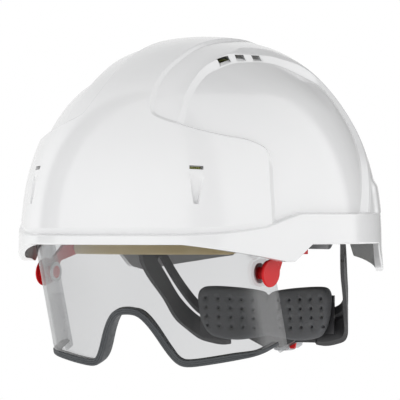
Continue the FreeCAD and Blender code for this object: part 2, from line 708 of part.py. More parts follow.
def webbing_strap(name, first, last, first_height, last_height, top):
    """A strap that arches in its own upright plane between two plan points, padded to its width."""
    span = math.dist(first, last)
    turn = math.atan2(last[1] - first[1], last[0] - first[0])
    body = new_body(name)
    sketch = body_sketch(body, name + "_profile", "XZ_Plane")
    wall = size("webbing_wall")
    outside = Part.Arc(flat((0, first_height)), flat((span / 2, top)), flat((span, last_height)))
    whole = Part.Circle(flat((0, first_height)), flat((span / 2, top)), flat((span, last_height)))
    centre = whole.Center
    radius = whole.Radius
    inside = []
    for at in ((0, first_height), (span / 2, top), (span, last_height)):
        ray = flat(at) - centre
        ray.Length = radius - wall
        inside.append(centre + ray)
    sketch.addGeometry(outside, False)
    sketch.addGeometry(Part.LineSegment(flat((span, last_height)), inside[2]), False)
    sketch.addGeometry(Part.Arc(inside[2], inside[1], inside[0]), False)
    sketch.addGeometry(Part.LineSegment(inside[0], flat((0, first_height))), False)
    pad(body, sketch, name + "_pad", "dims.webbing_width", midplane=True)
    place(body, (first[0], first[1], 0), FreeCAD.Rotation(Z_AXIS, math.degrees(turn)))
    return body


FRONT_END = (74.6, -18.5)
SIDE_END_AT = (82.8, 30.0)
REAR_END = (63.0, 89.0)
webbing_strap("front_left_strap", FRONT_END, flip(REAR_END), 63, 41, 118.6)
webbing_strap("front_right_strap", flip(FRONT_END), REAR_END, 63, 41, 114.2)
webbing_strap("side_strap", SIDE_END_AT, flip(SIDE_END_AT), 52, 52, 109.6)

# ---------------------------------------------------------------- size ratchet

RACK_CENTRE = size("rack_centre")
PINION_TEETH = 10
TOOTH_PITCH = 2 * math.pi * size("pinion_pitch_radius") / PINION_TEETH
TOOTH_ADDENDUM = 0.6
TOOTH_DEDENDUM = 0.7
TOOTH_HALF_TIP = 0.5
TOOTH_HALF_ROOT = 0.95
AXIS_HEIGHT = size("pinion_height")
RACK_DEPTH = 5.0


def swung(angle, radius):
    """A plan point at an angle from straight back, measured about the racks' centre."""
    turn = math.radians(angle)
    return (radius * math.sin(turn), RACK_CENTRE + radius * math.cos(turn))


def rack_outline(direction, tip, root_end):
    """Front view of a rack along +X or -X from its tip, with its teeth towards the pinion.

    A direction of +1 is the lower rack of the left strap, -1 the upper rack of the right one.
    """
    pitch_line = AXIS_HEIGHT - direction * size("pinion_pitch_radius")
    crest = pitch_line + direction * TOOTH_ADDENDUM
    root = pitch_line - direction * TOOTH_DEDENDUM
    back = pitch_line - direction * RACK_DEPTH
    points = [(direction * -tip, back), (direction * -tip, root)]
    for index in range(-3, 4):
        middle = (index + 0.5) * TOOTH_PITCH
        for across, height in (
                (-TOOTH_HALF_ROOT, root), (-TOOTH_HALF_TIP, crest),
                (TOOTH_HALF_TIP, crest), (TOOTH_HALF_ROOT, root)):
            points.append((direction * (middle + across), height))
    points += [(direction * root_end, root), (direction * root_end, back)]
    return polygon(points)


RACK_TIP = 11.6
RACK_ROOT_END = 33.0
BODY_ANGLE = 20.5
# plan path of a nape strap: (angle from straight back, radius), from its rear end forwards
STRAP_PATH = [(24, 93), (30, 96.6), (33.2, 98), (38, 96.4), (42.5, 93.1), (50, 89), (56, 86.6), (66, 86.6)]
# side view (Y, Z) of a nape strap
STRAP_SIDE_START = (104, -68.3)
STRAP_SIDE = [
    ("to", (97, -68.3)),
    ("curve", [(92, -62.5), (86, -57), (78.6, -51), (70, -38), (58.3, -23.5), (52, -12)]),
    ("curve", [(48.5, -4), (45, 2), (48, 7.5), (56, 8)]),
    ("curve", [(62, 3), (70, -8), (78.6, -21), (86, -31), (92, -40.5), (97, -47.5), (100, -49.3)]),
    ("to", (104, -49.3)),
]
STRAP_SLOT_START = (94, -53)
STRAP_SLOT = [
    ("curve", [(86, -43.2), (78.6, -35.1), (70, -22), (64, -13.5)]),
    ("via", (64.3, -9), (66, -9)),
    ("curve", [(70, -15.5), (78.6, -28.5), (86, -38), (94, -48.5)]),
]
half_rack = size("rack_wall") / 2
inner_path = [swung(angle, radius - half_rack) for angle, radius in STRAP_PATH]
outer_path = [swung(angle, radius + half_rack) for angle, radius in STRAP_PATH]
strap_start = swung(BODY_ANGLE, size("rack_radius") - half_rack)
strap_rear = swung(BODY_ANGLE, size("rack_radius") + half_rack)
strap_column = prism(
    "strap_column", "top", strap_start,
    [("curve", inner_path), ("to", outer_path[-1]), ("curve", outer_path[-2::-1] + [strap_rear])],
    -80, 100)
strap_side = prism("strap_side", "side", STRAP_SIDE_START, STRAP_SIDE, 0, 100)
strap_slot = prism("strap_slot", "side", STRAP_SLOT_START, STRAP_SLOT, 0, 100)
left_strap_body = cut("left_strap_body", common("strap_plain", strap_column, strap_side), strap_slot)
left_stud = cylinder("left_stud", STUD_RADIUS, 9.5, (0, 0, 0))
stud_turn = FreeCAD.Rotation(Z_AXIS, 90 - STUD_ANGLE)
stud_from = swung(STUD_ANGLE, 77.0)
left_stud.Placement = FreeCAD.Placement(
    FreeCAD.Vector(stud_from[0], stud_from[1], STUD_HEIGHT), stud_turn.multiply(ALONG["x"]))
left_strap_plain = fuse("left_strap_plain", left_strap_body, left_stud)
right_strap_plain = mirrored("right_strap_plain", left_strap_plain)


def arc_wall(name, inner, outer, bottom, height):
    """A full ring about the racks' centre; the caller keeps the stretch it needs."""
    outside = cylinder(name + "_outside", outer, height, (0, RACK_CENTRE, bottom), "z")
    inside = cylinder(name + "_inside", inner, height, (0, RACK_CENTRE, bottom), "z")
    return cut(name, outside, inside)


rack_ring = arc_wall(
    "rack_ring", "dims.rack_radius - dims.rack_wall / 2", "dims.rack_radius + dims.rack_wall / 2", -75, 50)
straps = {}
for side, direction, plain in (("left", 1, left_strap_plain), ("right", -1, right_strap_plain)):
    start, steps = rack_outline(direction, RACK_TIP, RACK_ROOT_END)
    rack_front = prism(side + "_rack_front", "front", start, steps, 110, 40)
    rack = common(side + "_rack", rack_ring, rack_front)
    parts = [plain, rack]
    if side == "right":
        riser_zone = box("riser_zone", (-40, 80, -60), (8.6, 30, 60 - 43))
        parts.append(common("riser", riser_zone, mirrored("right_strap_column", strap_column)))
    straps[side] = fuse(side + "_nape_strap", *parts)

pinion_points = []
for index in range(PINION_TEETH):
    middle = math.radians(90 + index * 360 / PINION_TEETH)
    root_radius = size("pinion_pitch_radius") - TOOTH_DEDENDUM
    tip_radius = size("pinion_pitch_radius") + TOOTH_ADDENDUM
    for across, radius in (
            (-TOOTH_HALF_ROOT, root_radius), (-TOOTH_HALF_TIP, tip_radius),
            (TOOTH_HALF_TIP, tip_radius), (TOOTH_HALF_ROOT, root_radius)):
        turn = middle + across / radius
        pinion_points.append((radius * math.cos(turn), AXIS_HEIGHT + radius * math.sin(turn)))
start, steps = polygon(pinion_points)
rack_middle = RACK_CENTRE + size("rack_radius")
pinion_gear = prism("pinion_gear", "front", start, steps, rack_middle + half_rack, 2 * half_rack)
JOURNAL_FRONT = 96.2
SPINDLE_BACK = 112.0
pinion_journal = cylinder(
    "pinion_journal", "dims.journal_radius", rack_middle - JOURNAL_FRONT,
    (0, JOURNAL_FRONT, "dims.pinion_height"), "y")
pinion_spindle = cylinder(
    "pinion_spindle", "dims.spindle_radius", SPINDLE_BACK - rack_middle,
    (0, rack_middle, "dims.pinion_height"), "y")
ratchet_pinion = fuse("ratchet_pinion", pinion_gear, pinion_journal, pinion_spindle)

# front view (X, Z) of the housing about the pinion's axis, with its corners cut off
half_wide = size("housing_half_width")
half_high = size("housing_half_height")
CORNER_ACROSS = 15.0
CORNER_DOWN = 7.0
housing_points = [
    (half_wide, half_high - CORNER_DOWN), (half_wide - CORNER_ACROSS, half_high),
    (CORNER_ACROSS - half_wide, half_high), (-half_wide, half_high - CORNER_DOWN),
    (-half_wide, CORNER_DOWN - half_high), (CORNER_ACROSS - half_wide, -half_high),
    (half_wide - CORNER_ACROSS, -half_high), (half_wide, CORNER_DOWN - half_high),
]
start, steps = polygon([(x, AXIS_HEIGHT + z) for x, z in housing_points])
housing_block = prism(
    "housing_block", "front", start, steps, size("housing_back"), "dims.housing_back - dims.housing_front")
channel_half = size("pinion_pitch_radius") + RACK_DEPTH + size("rack_gap")
housing_channel = arc_wall(
    "housing_channel",
    "dims.rack_radius - dims.rack_wall / 2 - dims.rack_gap",
    "dims.rack_radius + dims.rack_wall / 2 + dims.rack_gap",
    AXIS_HEIGHT - channel_half, 2 * channel_half)
journal_bore = cylinder(
    "journal_bore", "dims.journal_radius + dims.running_gap", 6, (0, 96, "dims.pinion_height"), "y")
spindle_bore = cylinder(
    "spindle_bore", "dims.spindle_radius + dims.running_gap", 6,
    (0, rack_middle, "dims.pinion_height"), "y")
SCREW_ACROSS = 11.0
SCREW_UP = 8.6
SCREW_DEPTH = 1.1
SCREW_HEAD = 0.8
screw_spots = [
    (across, AXIS_HEIGHT + up)
    for across in (-SCREW_ACROSS, SCREW_ACROSS) for up in (-SCREW_UP, SCREW_UP)
]
screw_holes = [
    cylinder("screw_hole_%d" % index, "dims.screw_radius", 10,
             (x, "dims.housing_back - %g" % SCREW_DEPTH, z), "y")
    for index, (x, z) in enumerate(screw_spots)]
ratchet_housing = cut(
    "ratchet_housing", housing_block, housing_channel, journal_bore, spindle_bore, *screw_holes)

# the cover is a padded plate with a hole for the spindle and four for its screws
COVER_HALF_WIDTH = 14.0
COVER_HALF_HEIGHT = 11.2
cover = new_body("ratchet_cover")
cover_sketch = body_sketch(cover, "cover_outline", "XZ_Plane")
start, steps = polygon([
    (COVER_HALF_WIDTH, COVER_HALF_HEIGHT), (-COVER_HALF_WIDTH, COVER_HALF_HEIGHT),
    (-COVER_HALF_WIDTH, -COVER_HALF_HEIGHT), (COVER_HALF_WIDTH, -COVER_HALF_HEIGHT)])
draw(cover_sketch, start, steps)
circle(cover_sketch, "dims.spindle_radius + 0.4")
for across in (-SCREW_ACROSS, SCREW_ACROSS):
    for up in (-SCREW_UP, SCREW_UP):
        circle(cover_sketch, "dims.screw_radius", (across, up))
pad(cover, cover_sketch, "cover_plate", "dims.cover_wall", reverse=True)
place(cover, (0, "dims.housing_back", "dims.pinion_height"))

screws = []
for index, (x, z) in enumerate(screw_spots):
    shank = cylinder(
        "screw_shank_%d" % index, "dims.screw_radius", "dims.cover_wall + %g" % SCREW_DEPTH,
        (x, "dims.housing_back - %g" % SCREW_DEPTH, z), "y")
    head = cylinder(
        "screw_head_%d" % index, "dims.screw_head_radius", SCREW_HEAD,
        (x, "dims.housing_back + dims.cover_wall", z), "y")
    screws.append(fuse("screw_%d" % index, shank, head))
ratchet_screws = fuse("ratchet_screws", *screws)

# the red detent tongue hangs from the housing's back, below the cover
TONGUE_OUTLINE = [(6.5, -11.6), (12.0, -11.6), (11.2, -15.4), (8.2, -15.4)]
start, steps = polygon([(x, AXIS_HEIGHT + z) for x, z in TONGUE_OUTLINE])
ratchet_pawl = prism("ratchet_pawl", "front", start, steps, size("housing_back") + 1.8, 1.8)

# the dial: a disc with a bore for the spindle and grip flutes round its rim
GRIP_COUNT = 16
dial = new_body("ratchet_knob")
dial_sketch = body_sketch(dial, "dial_outline", "XZ_Plane")
circle(dial_sketch, "dims.knob_radius")
circle(dial_sketch, "dims.spindle_radius")
pad(dial, dial_sketch, "dial_disc", "dims.knob_wall", reverse=True)
flute_sketch = body_sketch(dial, "dial_flute_outline", "XZ_Plane")
circle(flute_sketch, "dims.flute_radius", (0, size("knob_radius") + 1.0))
flute = pocket_all(dial, flute_sketch, "dial_flute")
flutes = dial.newObject("PartDesign::PolarPattern", "dial_flutes")
flutes.Originals = [flute]
flutes.Axis = (dial_sketch, ["N_Axis"])
flutes.Angle = 360
flutes.Occurrences = GRIP_COUNT
dial.Tip = flutes
place(dial, (0, "dims.knob_start", "dims.pinion_height"))

# ---------------------------------------------------------------- nape pad and its frame

PAD_END = (50.0, 79.5)
PAD_MIDDLE = 84.5
PAD_BACK_END = 86.0
PAD_BACK_MIDDLE = 92.0
FRAME_WALL = 1.6
# front view (X, Z) of the right half of the two-lobed pad, from the notch to the lower middle
PAD_HALF = [(4, -31.6), (12, -29.6), (26, -28.4), (38, -28.2)]
pad_plan = prism(
    "pad_plan", "top", flip(PAD_END),
    [("via", (0, PAD_MIDDLE), PAD_END), ("to", (PAD_END[0], PAD_BACK_END)),
     ("via", (0, PAD_BACK_MIDDLE), (-PAD_END[0], PAD_BACK_END))],
    -80, 60)
pad_front = prism(
    "pad_front", "front", (0, -37.0),
    [("to", PAD_HALF[0]), ("curve", PAD_HALF[1:]), ("via", (47.2, -33), (49.8, -44)),
     ("via", (47, -57), (37, -62.6)), ("curve", [(24, -63.8), (12, -62.6), (0, -61.0), (-12, -62.6),
                                                (-24, -63.8), (-37, -62.6)]),
     ("via", (-47, -57), (-49.8, -44)), ("via", (-47.2, -33), flip(PAD_HALF[3])),
     ("curve", [flip(point) for point in PAD_HALF[2::-1]])],
    120, 60)
nape_pad = common("nape_pad", pad_plan, pad_front)

frame_plan = prism(
    "frame_plan", "top", (-PAD_END[0], PAD_BACK_END),
    [("via", (0, PAD_BACK_MIDDLE), (PAD_END[0], PAD_BACK_END)),
     ("to", (PAD_END[0], PAD_BACK_END + FRAME_WALL)),
     ("via", (0, PAD_BACK_MIDDLE + FRAME_WALL), (-PAD_END[0], PAD_BACK_END + FRAME_WALL))],
    -59, 25)
frame_windows = []
for index, (first, last) in enumerate(((-45, -33), (-29, -17), (17, 29), (33, 45))):
    frame_windows.append(box("frame_window_%d" % index, (first, 80, -55), (last - first, 20, 17)))
frame_block = box("frame_block", (-12, 92.4, -60), (24, size("housing_front") - 92.4, 14))
nape_frame = cut("nape_frame", fuse("frame_whole", frame_plan, frame_block), pad_plan, *frame_windows)

# ---------------------------------------------------------------- twins, checks and files

TWINS = (
    "lens_arm", "pivot_cap", "retaining_clip", "hinge_pin", "friction_washer", "hinge_bracket",
    "harness_keys",
)
for kind in TWINS:
    mirrored("right_" + kind, doc.getObject("left_" + kind))

NODES = [
    "shell", "lens", "lens_seal", "headband", "sweatband", "front_left_strap", "front_right_strap",
    "side_strap", "left_nape_strap", "right_nape_strap", "nape_pad", "nape_frame", "ratchet_housing",
    "ratchet_cover", "ratchet_pinion", "ratchet_knob", "ratchet_pawl", "ratchet_screws",
]
for kind in TWINS:
    NODES += ["left_" + kind, "right_" + kind]

doc.recompute()
for item in doc.Objects:
    if "Invalid" in item.State or "Error" in item.State:
        raise RuntimeError("%s failed: %s" % (item.Name, item.State))
for name in NODES:
    shape = doc.getObject(name).Shape
    if shape.isNull() or not shape.isValid() or shape.Volume <= 0:
        raise RuntimeError("%s has no valid solid" % name)
for name in NODES:
    item = doc.getObject(name)
    item.Label = name
    item.Shape.exportStep("parts/%s.step" % name)
    corner = item.Shape.BoundBox
    print("%-22s %2d solids %10.1f mm3  x %.1f..%.1f  y %.1f..%.1f  z %.1f..%.1f" % (
        name, len(item.Shape.Solids), item.Shape.Volume, corner.XMin, corner.XMax,
        corner.YMin, corner.YMax, corner.ZMin, corner.ZMax))
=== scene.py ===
"""A white safety helmet with a stowable eye lens: the looks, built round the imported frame.

Lengths are in millimetres until a mesh is made, and the frame is +Z up with the brow at -Y.
"""

import json
import math

import bmesh
import bpy
import numpy as np
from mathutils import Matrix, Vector, geometry, kdtree


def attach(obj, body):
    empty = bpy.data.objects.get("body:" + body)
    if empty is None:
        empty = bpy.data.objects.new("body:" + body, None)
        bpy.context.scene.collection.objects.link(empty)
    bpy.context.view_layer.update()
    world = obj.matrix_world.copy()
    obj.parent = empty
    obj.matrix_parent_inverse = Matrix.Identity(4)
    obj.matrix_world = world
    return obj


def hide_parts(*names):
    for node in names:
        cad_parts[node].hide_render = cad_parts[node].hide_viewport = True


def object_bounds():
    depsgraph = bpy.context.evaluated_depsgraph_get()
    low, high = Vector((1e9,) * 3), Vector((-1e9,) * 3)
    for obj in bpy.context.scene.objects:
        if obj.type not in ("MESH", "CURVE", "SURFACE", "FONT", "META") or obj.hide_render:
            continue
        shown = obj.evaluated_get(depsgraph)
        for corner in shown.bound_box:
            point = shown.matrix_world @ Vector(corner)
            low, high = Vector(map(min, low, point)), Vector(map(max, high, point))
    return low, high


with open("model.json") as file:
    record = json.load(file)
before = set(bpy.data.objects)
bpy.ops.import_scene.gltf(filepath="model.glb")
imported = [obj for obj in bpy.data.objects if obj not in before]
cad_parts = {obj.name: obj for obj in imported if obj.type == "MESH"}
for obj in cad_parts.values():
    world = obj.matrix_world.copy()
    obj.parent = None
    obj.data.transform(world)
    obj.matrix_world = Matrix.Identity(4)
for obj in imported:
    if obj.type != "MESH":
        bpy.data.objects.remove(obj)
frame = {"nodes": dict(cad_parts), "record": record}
cad_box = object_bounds()
MM = 0.001
Z_AXIS = Vector((0, 0, 1))


# ---------------------------------------------------------------- meshes

def new_piece(name, points, faces, body, slot, replaced=(), smooth=True):
    """A mesh piece from points in millimetres, riding on a body and standing for CAD nodes."""
    mesh = bpy.data.meshes.new(name)
    mesh.from_pydata([tuple(float(c) * MM for c in p) for p in points], [], [tuple(f) for f in faces])
    mesh.validate()
    mesh.update()
    item = bpy.data.objects.new(name, mesh)
    bpy.context.scene.collection.objects.link(item)
    if smooth:
        mesh.shade_smooth()
    mesh.materials.append(MATERIALS[slot])
    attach(item, body)
    if replaced:
        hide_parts(*replaced)
    return item


def add_bevel(item, width, segments=3, angle=35.0):
    bevel = item.modifiers.new("edges", "BEVEL")
    bevel.width = width * MM
    bevel.segments = segments
    bevel.limit_method = "ANGLE"
    bevel.angle_limit = math.radians(angle)
    bevel.harden_normals = True
    return bevel


def add_weighted_normals(item):
    weighted = item.modifiers.new("normals", "WEIGHTED_NORMAL")
    weighted.keep_sharp = True


def smooth_step(value, first=0.0, last=1.0):
    share = np.clip((np.asarray(value, float) - first) / (last - first), 0, 1)
    return share * share * (3 - 2 * share)


def soft_ramp(value, width, rounding):
    """0 to 1 across the width, with both corners of the ramp rounded."""
    def area(t):
        return np.where(t < 0, 0, np.where(t > width, t - width / 2, t * t / (2 * width)))
    return (area(value + rounding) - area(value - rounding)) / (2 * rounding)


def spline(points, count=14):
    """A smooth line through the points, as one dense polyline."""
    p = np.asarray(points, float)
    p = np.vstack([2 * p[0] - p[1], p, 2 * p[-1] - p[-2]])
    dense = []
    for a, b, c, d in zip(p[:-3], p[1:-2], p[2:-1], p[3:]):
        for t in np.arange(count) / count:
            dense.append(0.5 * (2 * b + (c - a) * t + (2 * a - 5 * b + 4 * c - d) * t * t
                                + (3 * b - a - 3 * c + d) * t ** 3))
    dense.append(p[-2])
    return np.array(dense)


def resample(line, spacing):
    """The polyline with even spacing."""
    steps = np.linalg.norm(np.diff(line, axis=0), axis=1)
    travel = np.concatenate([[0], np.cumsum(steps)])
    count = max(2, int(round(travel[-1] / spacing)) + 1)
    at = np.linspace(0, travel[-1], count)
    return np.stack([np.interp(at, travel, line[:, k]) for k in range(line.shape[1])], axis=1)


# ---------------------------------------------------------------- shell surface

CROWN_HEIGHT = 132.7
HALF_WIDTH = 107.0
HALF_LENGTH = 136.5
DOME_POWER = 2.2
DOME_SETBACK = 1.0
CROWN_SETBACK = 8.0
PLAN_RADIUS = 180.0        # the flat plan's radius at the dome's foot, about the length of its meridian
SHELL_WALL = 2.6


def dome_at(plan):
    """Points of the plain dome for points of its flattened plan."""
    spread = np.hypot(plan[:, 0], plan[:, 1]) / PLAN_RADIUS
    turn = np.arctan2(plan[:, 1], plan[:, 0])
    climb = np.minimum(spread, 1) * math.pi / 2
    share = np.sin(climb) ** (2 / DOME_POWER)
    rise = np.maximum(np.cos(climb), 0) ** (2 / DOME_POWER)
    height = CROWN_HEIGHT * rise - PLAN_RADIUS * np.maximum(spread - 1, 0)
    setback = DOME_SETBACK + CROWN_SETBACK * rise ** 4
    return np.stack(
        [HALF_WIDTH * share * np.cos(turn), setback + HALF_LENGTH * share * np.sin(turn), height], 1)


def dome_plan(points):
    """The flattened plan's points for points on or near the plain dome."""
    points = np.asarray(points, float)
    rise = np.clip(points[:, 2] / CROWN_HEIGHT, 0, 1)
    across = points[:, 0] / HALF_WIDTH
    along = (points[:, 1] - DOME_SETBACK - CROWN_SETBACK * rise ** 4) / HALF_LENGTH
    climb = np.arctan2(np.hypot(across, along) ** (DOME_POWER / 2), rise ** (DOME_POWER / 2))
    spread = PLAN_RADIUS * climb / (math.pi / 2) + np.maximum(-points[:, 2], 0)
    turn = np.arctan2(along, across)
    return np.stack([spread * np.cos(turn), spread * np.sin(turn)], 1)


def dome_normals(plan):
    step = 0.2
    size = np.hypot(plan[:, 0], plan[:, 1])
    plan = np.where((size < 1)[:, None], plan + (1.0, 0), plan)
    across = dome_at(plan + (step, 0)) - dome_at(plan - (step, 0))
    along = dome_at(plan + (0, step)) - dome_at(plan - (0, step))
    normal = np.cross(across, along)
    return normal / np.linalg.norm(normal, axis=1)[:, None]


def clean_mesh(item):
    """Drops loose points and faces without area."""
    work = bmesh.new()
    work.from_mesh(item.data)
    bmesh.ops.delete(work, geom=[v for v in work.verts if not v.link_faces], context="VERTS")
    bmesh.ops.dissolve_degenerate(work, dist=1e-6, edges=work.edges)
    work.to_mesh(item.data)
    work.free()


class Outline:
    """A smooth line on the dome, with signed distances from it and rows beside it."""

    def __init__(self, points, turned=1):
        """From points on the dome, or on a smaller one if each has its depth as a fourth number.

        Distances count to the right of the line, or to its left if turned is -1.
        """
        points = np.array(points, float)
        if points.shape[1] == 4:
            depth = points[:, 3:]
            points[:, :2] *= HALF_WIDTH / (HALF_WIDTH - depth)
            points[:, 2:3] *= CROWN_HEIGHT / (CROWN_HEIGHT - depth)
        plan = spline(dome_plan(points[:, :3]))
        self.points = resample(dome_at(plan), LINE_SPACING)
        self.travel = np.arange(len(self.points)) * LINE_SPACING
        self.plan = dome_plan(self.points)
        tangent = np.gradient(self.points, axis=0)
        self.side = turned * np.cross(tangent, dome_normals(self.plan))
        self.side /= np.linalg.norm(self.side, axis=1)[:, None]

    def row(self, distance):
        """The line moved sideways, as plan points; the distance may vary along it."""
        moved = self.points + self.side * np.broadcast_to(distance, (len(self.points),))[:, None]
        return dome_plan(moved)

    def distance(self, points):
        """Signed distance of each point, and the index of the nearest point of the line."""
        start, end = self.points[:-1], self.points[1:]
        leg = end - start
        length2 = (leg ** 2).sum(1)
        signed = np.empty(len(points))
        nearest = np.empty(len(points), int)
        for first in range(0, len(points), 2000):
            p = points[first:first + 2000, None, :] - start[None]
            t = np.clip((p * leg).sum(2) / length2, 0, 1)
            away = p - t[..., None] * leg
            gap = np.linalg.norm(away, axis=2)
            k = gap.argmin(1)
            pick = np.arange(len(k))
            sign = np.sign((away[pick, k] * (self.side[k] + self.side[k + 1])).sum(1))
            signed[first:first + 2000] = np.where(sign == 0, 1, sign) * gap[pick, k]
            nearest[first:first + 2000] = k
        return signed, nearest


# the raised brow box and the spine over the crown, from the band up, forward and back over the top
BOX_POINTS = [
    (92, -69, -6), (91, -69.2, 18), (88.8, -67.7, 37.6), (85.3, -63.6, 57), (83, -64.6, 60.9),
    (76.5, -72.8, 65.2), (66.5, -85.1, 67.9), (54.5, -95.3, 71.4), (44.2, -101, 74.8), (36, -104.1, 77.2),
    (27.8, -105.6, 80.4), (23.4, -104, 84.4), (20.3, -97.5, 92.6), (18.4, -89.6, 100), (17.7, -78.9, 108),
    (18.2, -60, 117.8), (18.2, -40, 125), (18, -15.8, 130), (18.5, 10, 132), (18.5, 40, 130),
    (18.5, 70, 119), (18, 95, 101), (17.5, 115, 78), (17, 127, 52), (17, 134, 20),
]
# the foot of the ledge over the sunk side panel, from inside the brow box back and down to the band,
# with how deep the panel lies there
LEDGE_POINTS = [
    (43.5, -104, 62, 3.5), (43.1, -93.5, 78.5, 3.5), (40.4, -81.2, 91.3, 4.2), (38.2, -62.4, 103.7, 5.2),
    (37.8, -52.3, 108, 5.8), (38.7, -44.3, 110.6, 6), (40.6, -28.5, 114.4, 6), (44.1, -15, 115.3, 6),
    (46.8, -1.1, 115.3, 6), (49.1, 9.5, 114.2, 6), (52.2, 18.9, 111.9, 5.8), (56, 34, 107.5, 5.2),
    (61, 54, 98, 4), (67.5, 60, 88, 3.5), (73.5, 62, 77, 3.5), (80, 59, 66, 3.5), (86.5, 53, 56, 3.5),
    (92.4, 45.4, 45.4, 3.5), (97, 36, 31, 3.5), (100.5, 28.7, 19.7, 3.5), (102, 26, 6, 3.5),
    (102.5, 25, -6, 3.5),
]
PANEL_DEPTH = 3.5
STRIP_DEPTH = 1.9
HOLLOW_DEPTH = 2.6
LEDGE_NARROW = 3.8
LEDGE_WIDE = 5.5
CRESCENT_DEPTH = 1.2
CRESCENT_WIDTH = 9.0
EDGE_ROUND = 0.45
BOX_SLOPE = 2.6
BOX_REAR_SLOPE = 6.0
SPINE_SLOPE = 1.8
LINE_SPACING = 2.0


def crescent_share(travel):
    """How deep the concave wall over the ledge is, from 0 to 1, along the ledge."""
    return smooth_step(travel, 97, 122) * (1 - 0.72 * smooth_step(travel, 143, 170))


def hollow_depth(travel, over_ledge):
    """How much deeper the panel is scooped out along the foot of the ledge."""
    along = smooth_step(travel, 35, 85) * (1 - smooth_step(travel, 160, 195))
    return HOLLOW_DEPTH * along * (1 - smooth_step(-over_ledge, 5, 42))


def ledge_width(travel):
    """Width of the ledge, which opens out towards the vents."""
    return LEDGE_NARROW + (LEDGE_WIDE - LEDGE_NARROW) * smooth_step(travel, 72, 100)


def box_slope(points):
    """Width of the slope round the brow box: wider down its rear edge, narrower along the spine."""
    rear = smooth_step(-points[:, 2], -66, -48) * (np.abs(points[:, 1] + 67) < 12)
    spine = smooth_step(points[:, 2], 92, 112)
    return BOX_SLOPE + (BOX_REAR_SLOPE - BOX_SLOPE) * rear + (SPINE_SLOPE - BOX_SLOPE) * spine


def band_top(y):
    """Height of the top of the thick band round the lower edge."""
    return np.interp(y, [-117, -100, -88, -74, -65, -57, -47], [6.2, 7.2, 8.7, 11, 14.2, 17, 19.6])


def lower_edge(y):
    """Height of the shell's lower edge along the side."""
    return np.interp(
        y, [-117, -88, -60, -56.5, -53, -38, 57, 61, 68, 77, 108, 124, 126.5],
        [0, -5.5, -10.6, -10.9, -10.6, 0, 0, -8, -15.5, -18.0, -12.3, -8.6, 0])


def band_rise(points):
    """How far the band stands out: more at the brow and the nape than at the sides."""
    endwise = np.abs(points[:, 1]) / HALF_LENGTH
    return 1.25 + 1.05 * smooth_step(endwise, 0.6, 0.95)


box_edge = Outline(BOX_POINTS)
ledge = Outline(LEDGE_POINTS, -1)

SLOT_AT = (57.6, -105.0, 48.2)
SLOT_TURN = math.radians(33.0)
SLOT_SIZE = (8.7, 2.3)
ARROW_TOP = 45.6
ARROW_FOOT = 25.5
ARROW_HALF_TOP = 4.5
ARROW_HALF_FOOT = 1.5
ARROW_DEPTH = 3.4


def brow_frame(points):
    """Across and up coordinates about the accessory slot in the brow."""
    across = ((points[:, 0] - SLOT_AT[0]) * math.cos(SLOT_TURN)
              + (points[:, 1] - SLOT_AT[1]) * math.sin(SLOT_TURN))
    return across, points[:, 2]


def brow_point(across, height):
    """The dome's plan point that lies at these coordinates about the accessory slot."""
    middle = dome_plan([(SLOT_AT[0], SLOT_AT[1], SLOT_AT[2])])[0]
    turn = math.atan2(middle[1], middle[0])
    rise = min(max(height / CROWN_HEIGHT, 0.0), 1.0)
    climb = math.atan2((1 - rise ** DOME_POWER) ** 0.5, rise ** (DOME_POWER / 2))
    spread = PLAN_RADIUS * climb / (math.pi / 2)
    centre = dome_at(np.array([[spread * math.cos(turn), spread * math.sin(turn)]]))[0]
    return centre + across * np.array([math.cos(SLOT_TURN), math.sin(SLOT_TURN), 0])


def arrow_depth(points):
    """Depth of the tapered recess under the slot, whose floor slopes in towards its foot."""
    across, height = brow_frame(points)
    share = (height - ARROW_FOOT) / (ARROW_TOP - ARROW_FOOT)
    half = ARROW_HALF_FOOT + (ARROW_HALF_TOP - ARROW_HALF_FOOT) * np.clip(share, 0, 1) ** 0.85
    centre = brow_drift(height)
    inset = np.minimum(half - np.abs(across - centre), np.minimum(ARROW_TOP - height, height - ARROW_FOOT))
    return ARROW_DEPTH * (1 - np.clip(share, 0, 1)) * np.clip(inset / 0.6, 0, 1)


def brow_drift(height):
    """Sideways travel of the slot's upright centre line as the dome widens below it."""
    heights = np.linspace(0, CROWN_HEIGHT / 2, 40)
    across = (math.cos(SLOT_TURN), math.sin(SLOT_TURN), 0)
    drifts = [float(np.dot(brow_point(0, h) - np.array(SLOT_AT), across)) for h in heights]
    return np.interp(height, heights, drifts)


def shell_levels(points):
    """Height over the plain dome of the main steps: box, spine, strip, ledge, crescent and panel."""
    beside_box, _ = box_edge.distance(points)
    over_ledge, near = ledge.distance(points)
    travel = ledge.travel[near]
    strip = -STRIP_DEPTH * smooth_step(points[:, 2], 45, 90) * (1 - 0.7 * smooth_step(points[:, 1], -5, 45))
    panel = -PANEL_DEPTH - hollow_depth(travel, over_ledge)
    share = crescent_share(travel)
    shelf = strip - CRESCENT_DEPTH * share
    wide = CRESCENT_WIDTH * share + 0.3
    width = ledge_width(travel)
    climb = np.clip((over_ledge - width) / wide, 0, 1)
    outside = np.where(
        over_ledge < width,
        panel + (shelf - panel) * soft_ramp(over_ledge, width, EDGE_ROUND),
        shelf + (strip - shelf) * climb ** 1.8)
    slope = box_slope(points)
    return outside * soft_ramp(beside_box, slope, EDGE_ROUND)


REAR_PAD_TOP = 42.0
REAR_PAD_START = 52.0
REAR_PAD_RISE = 1.7


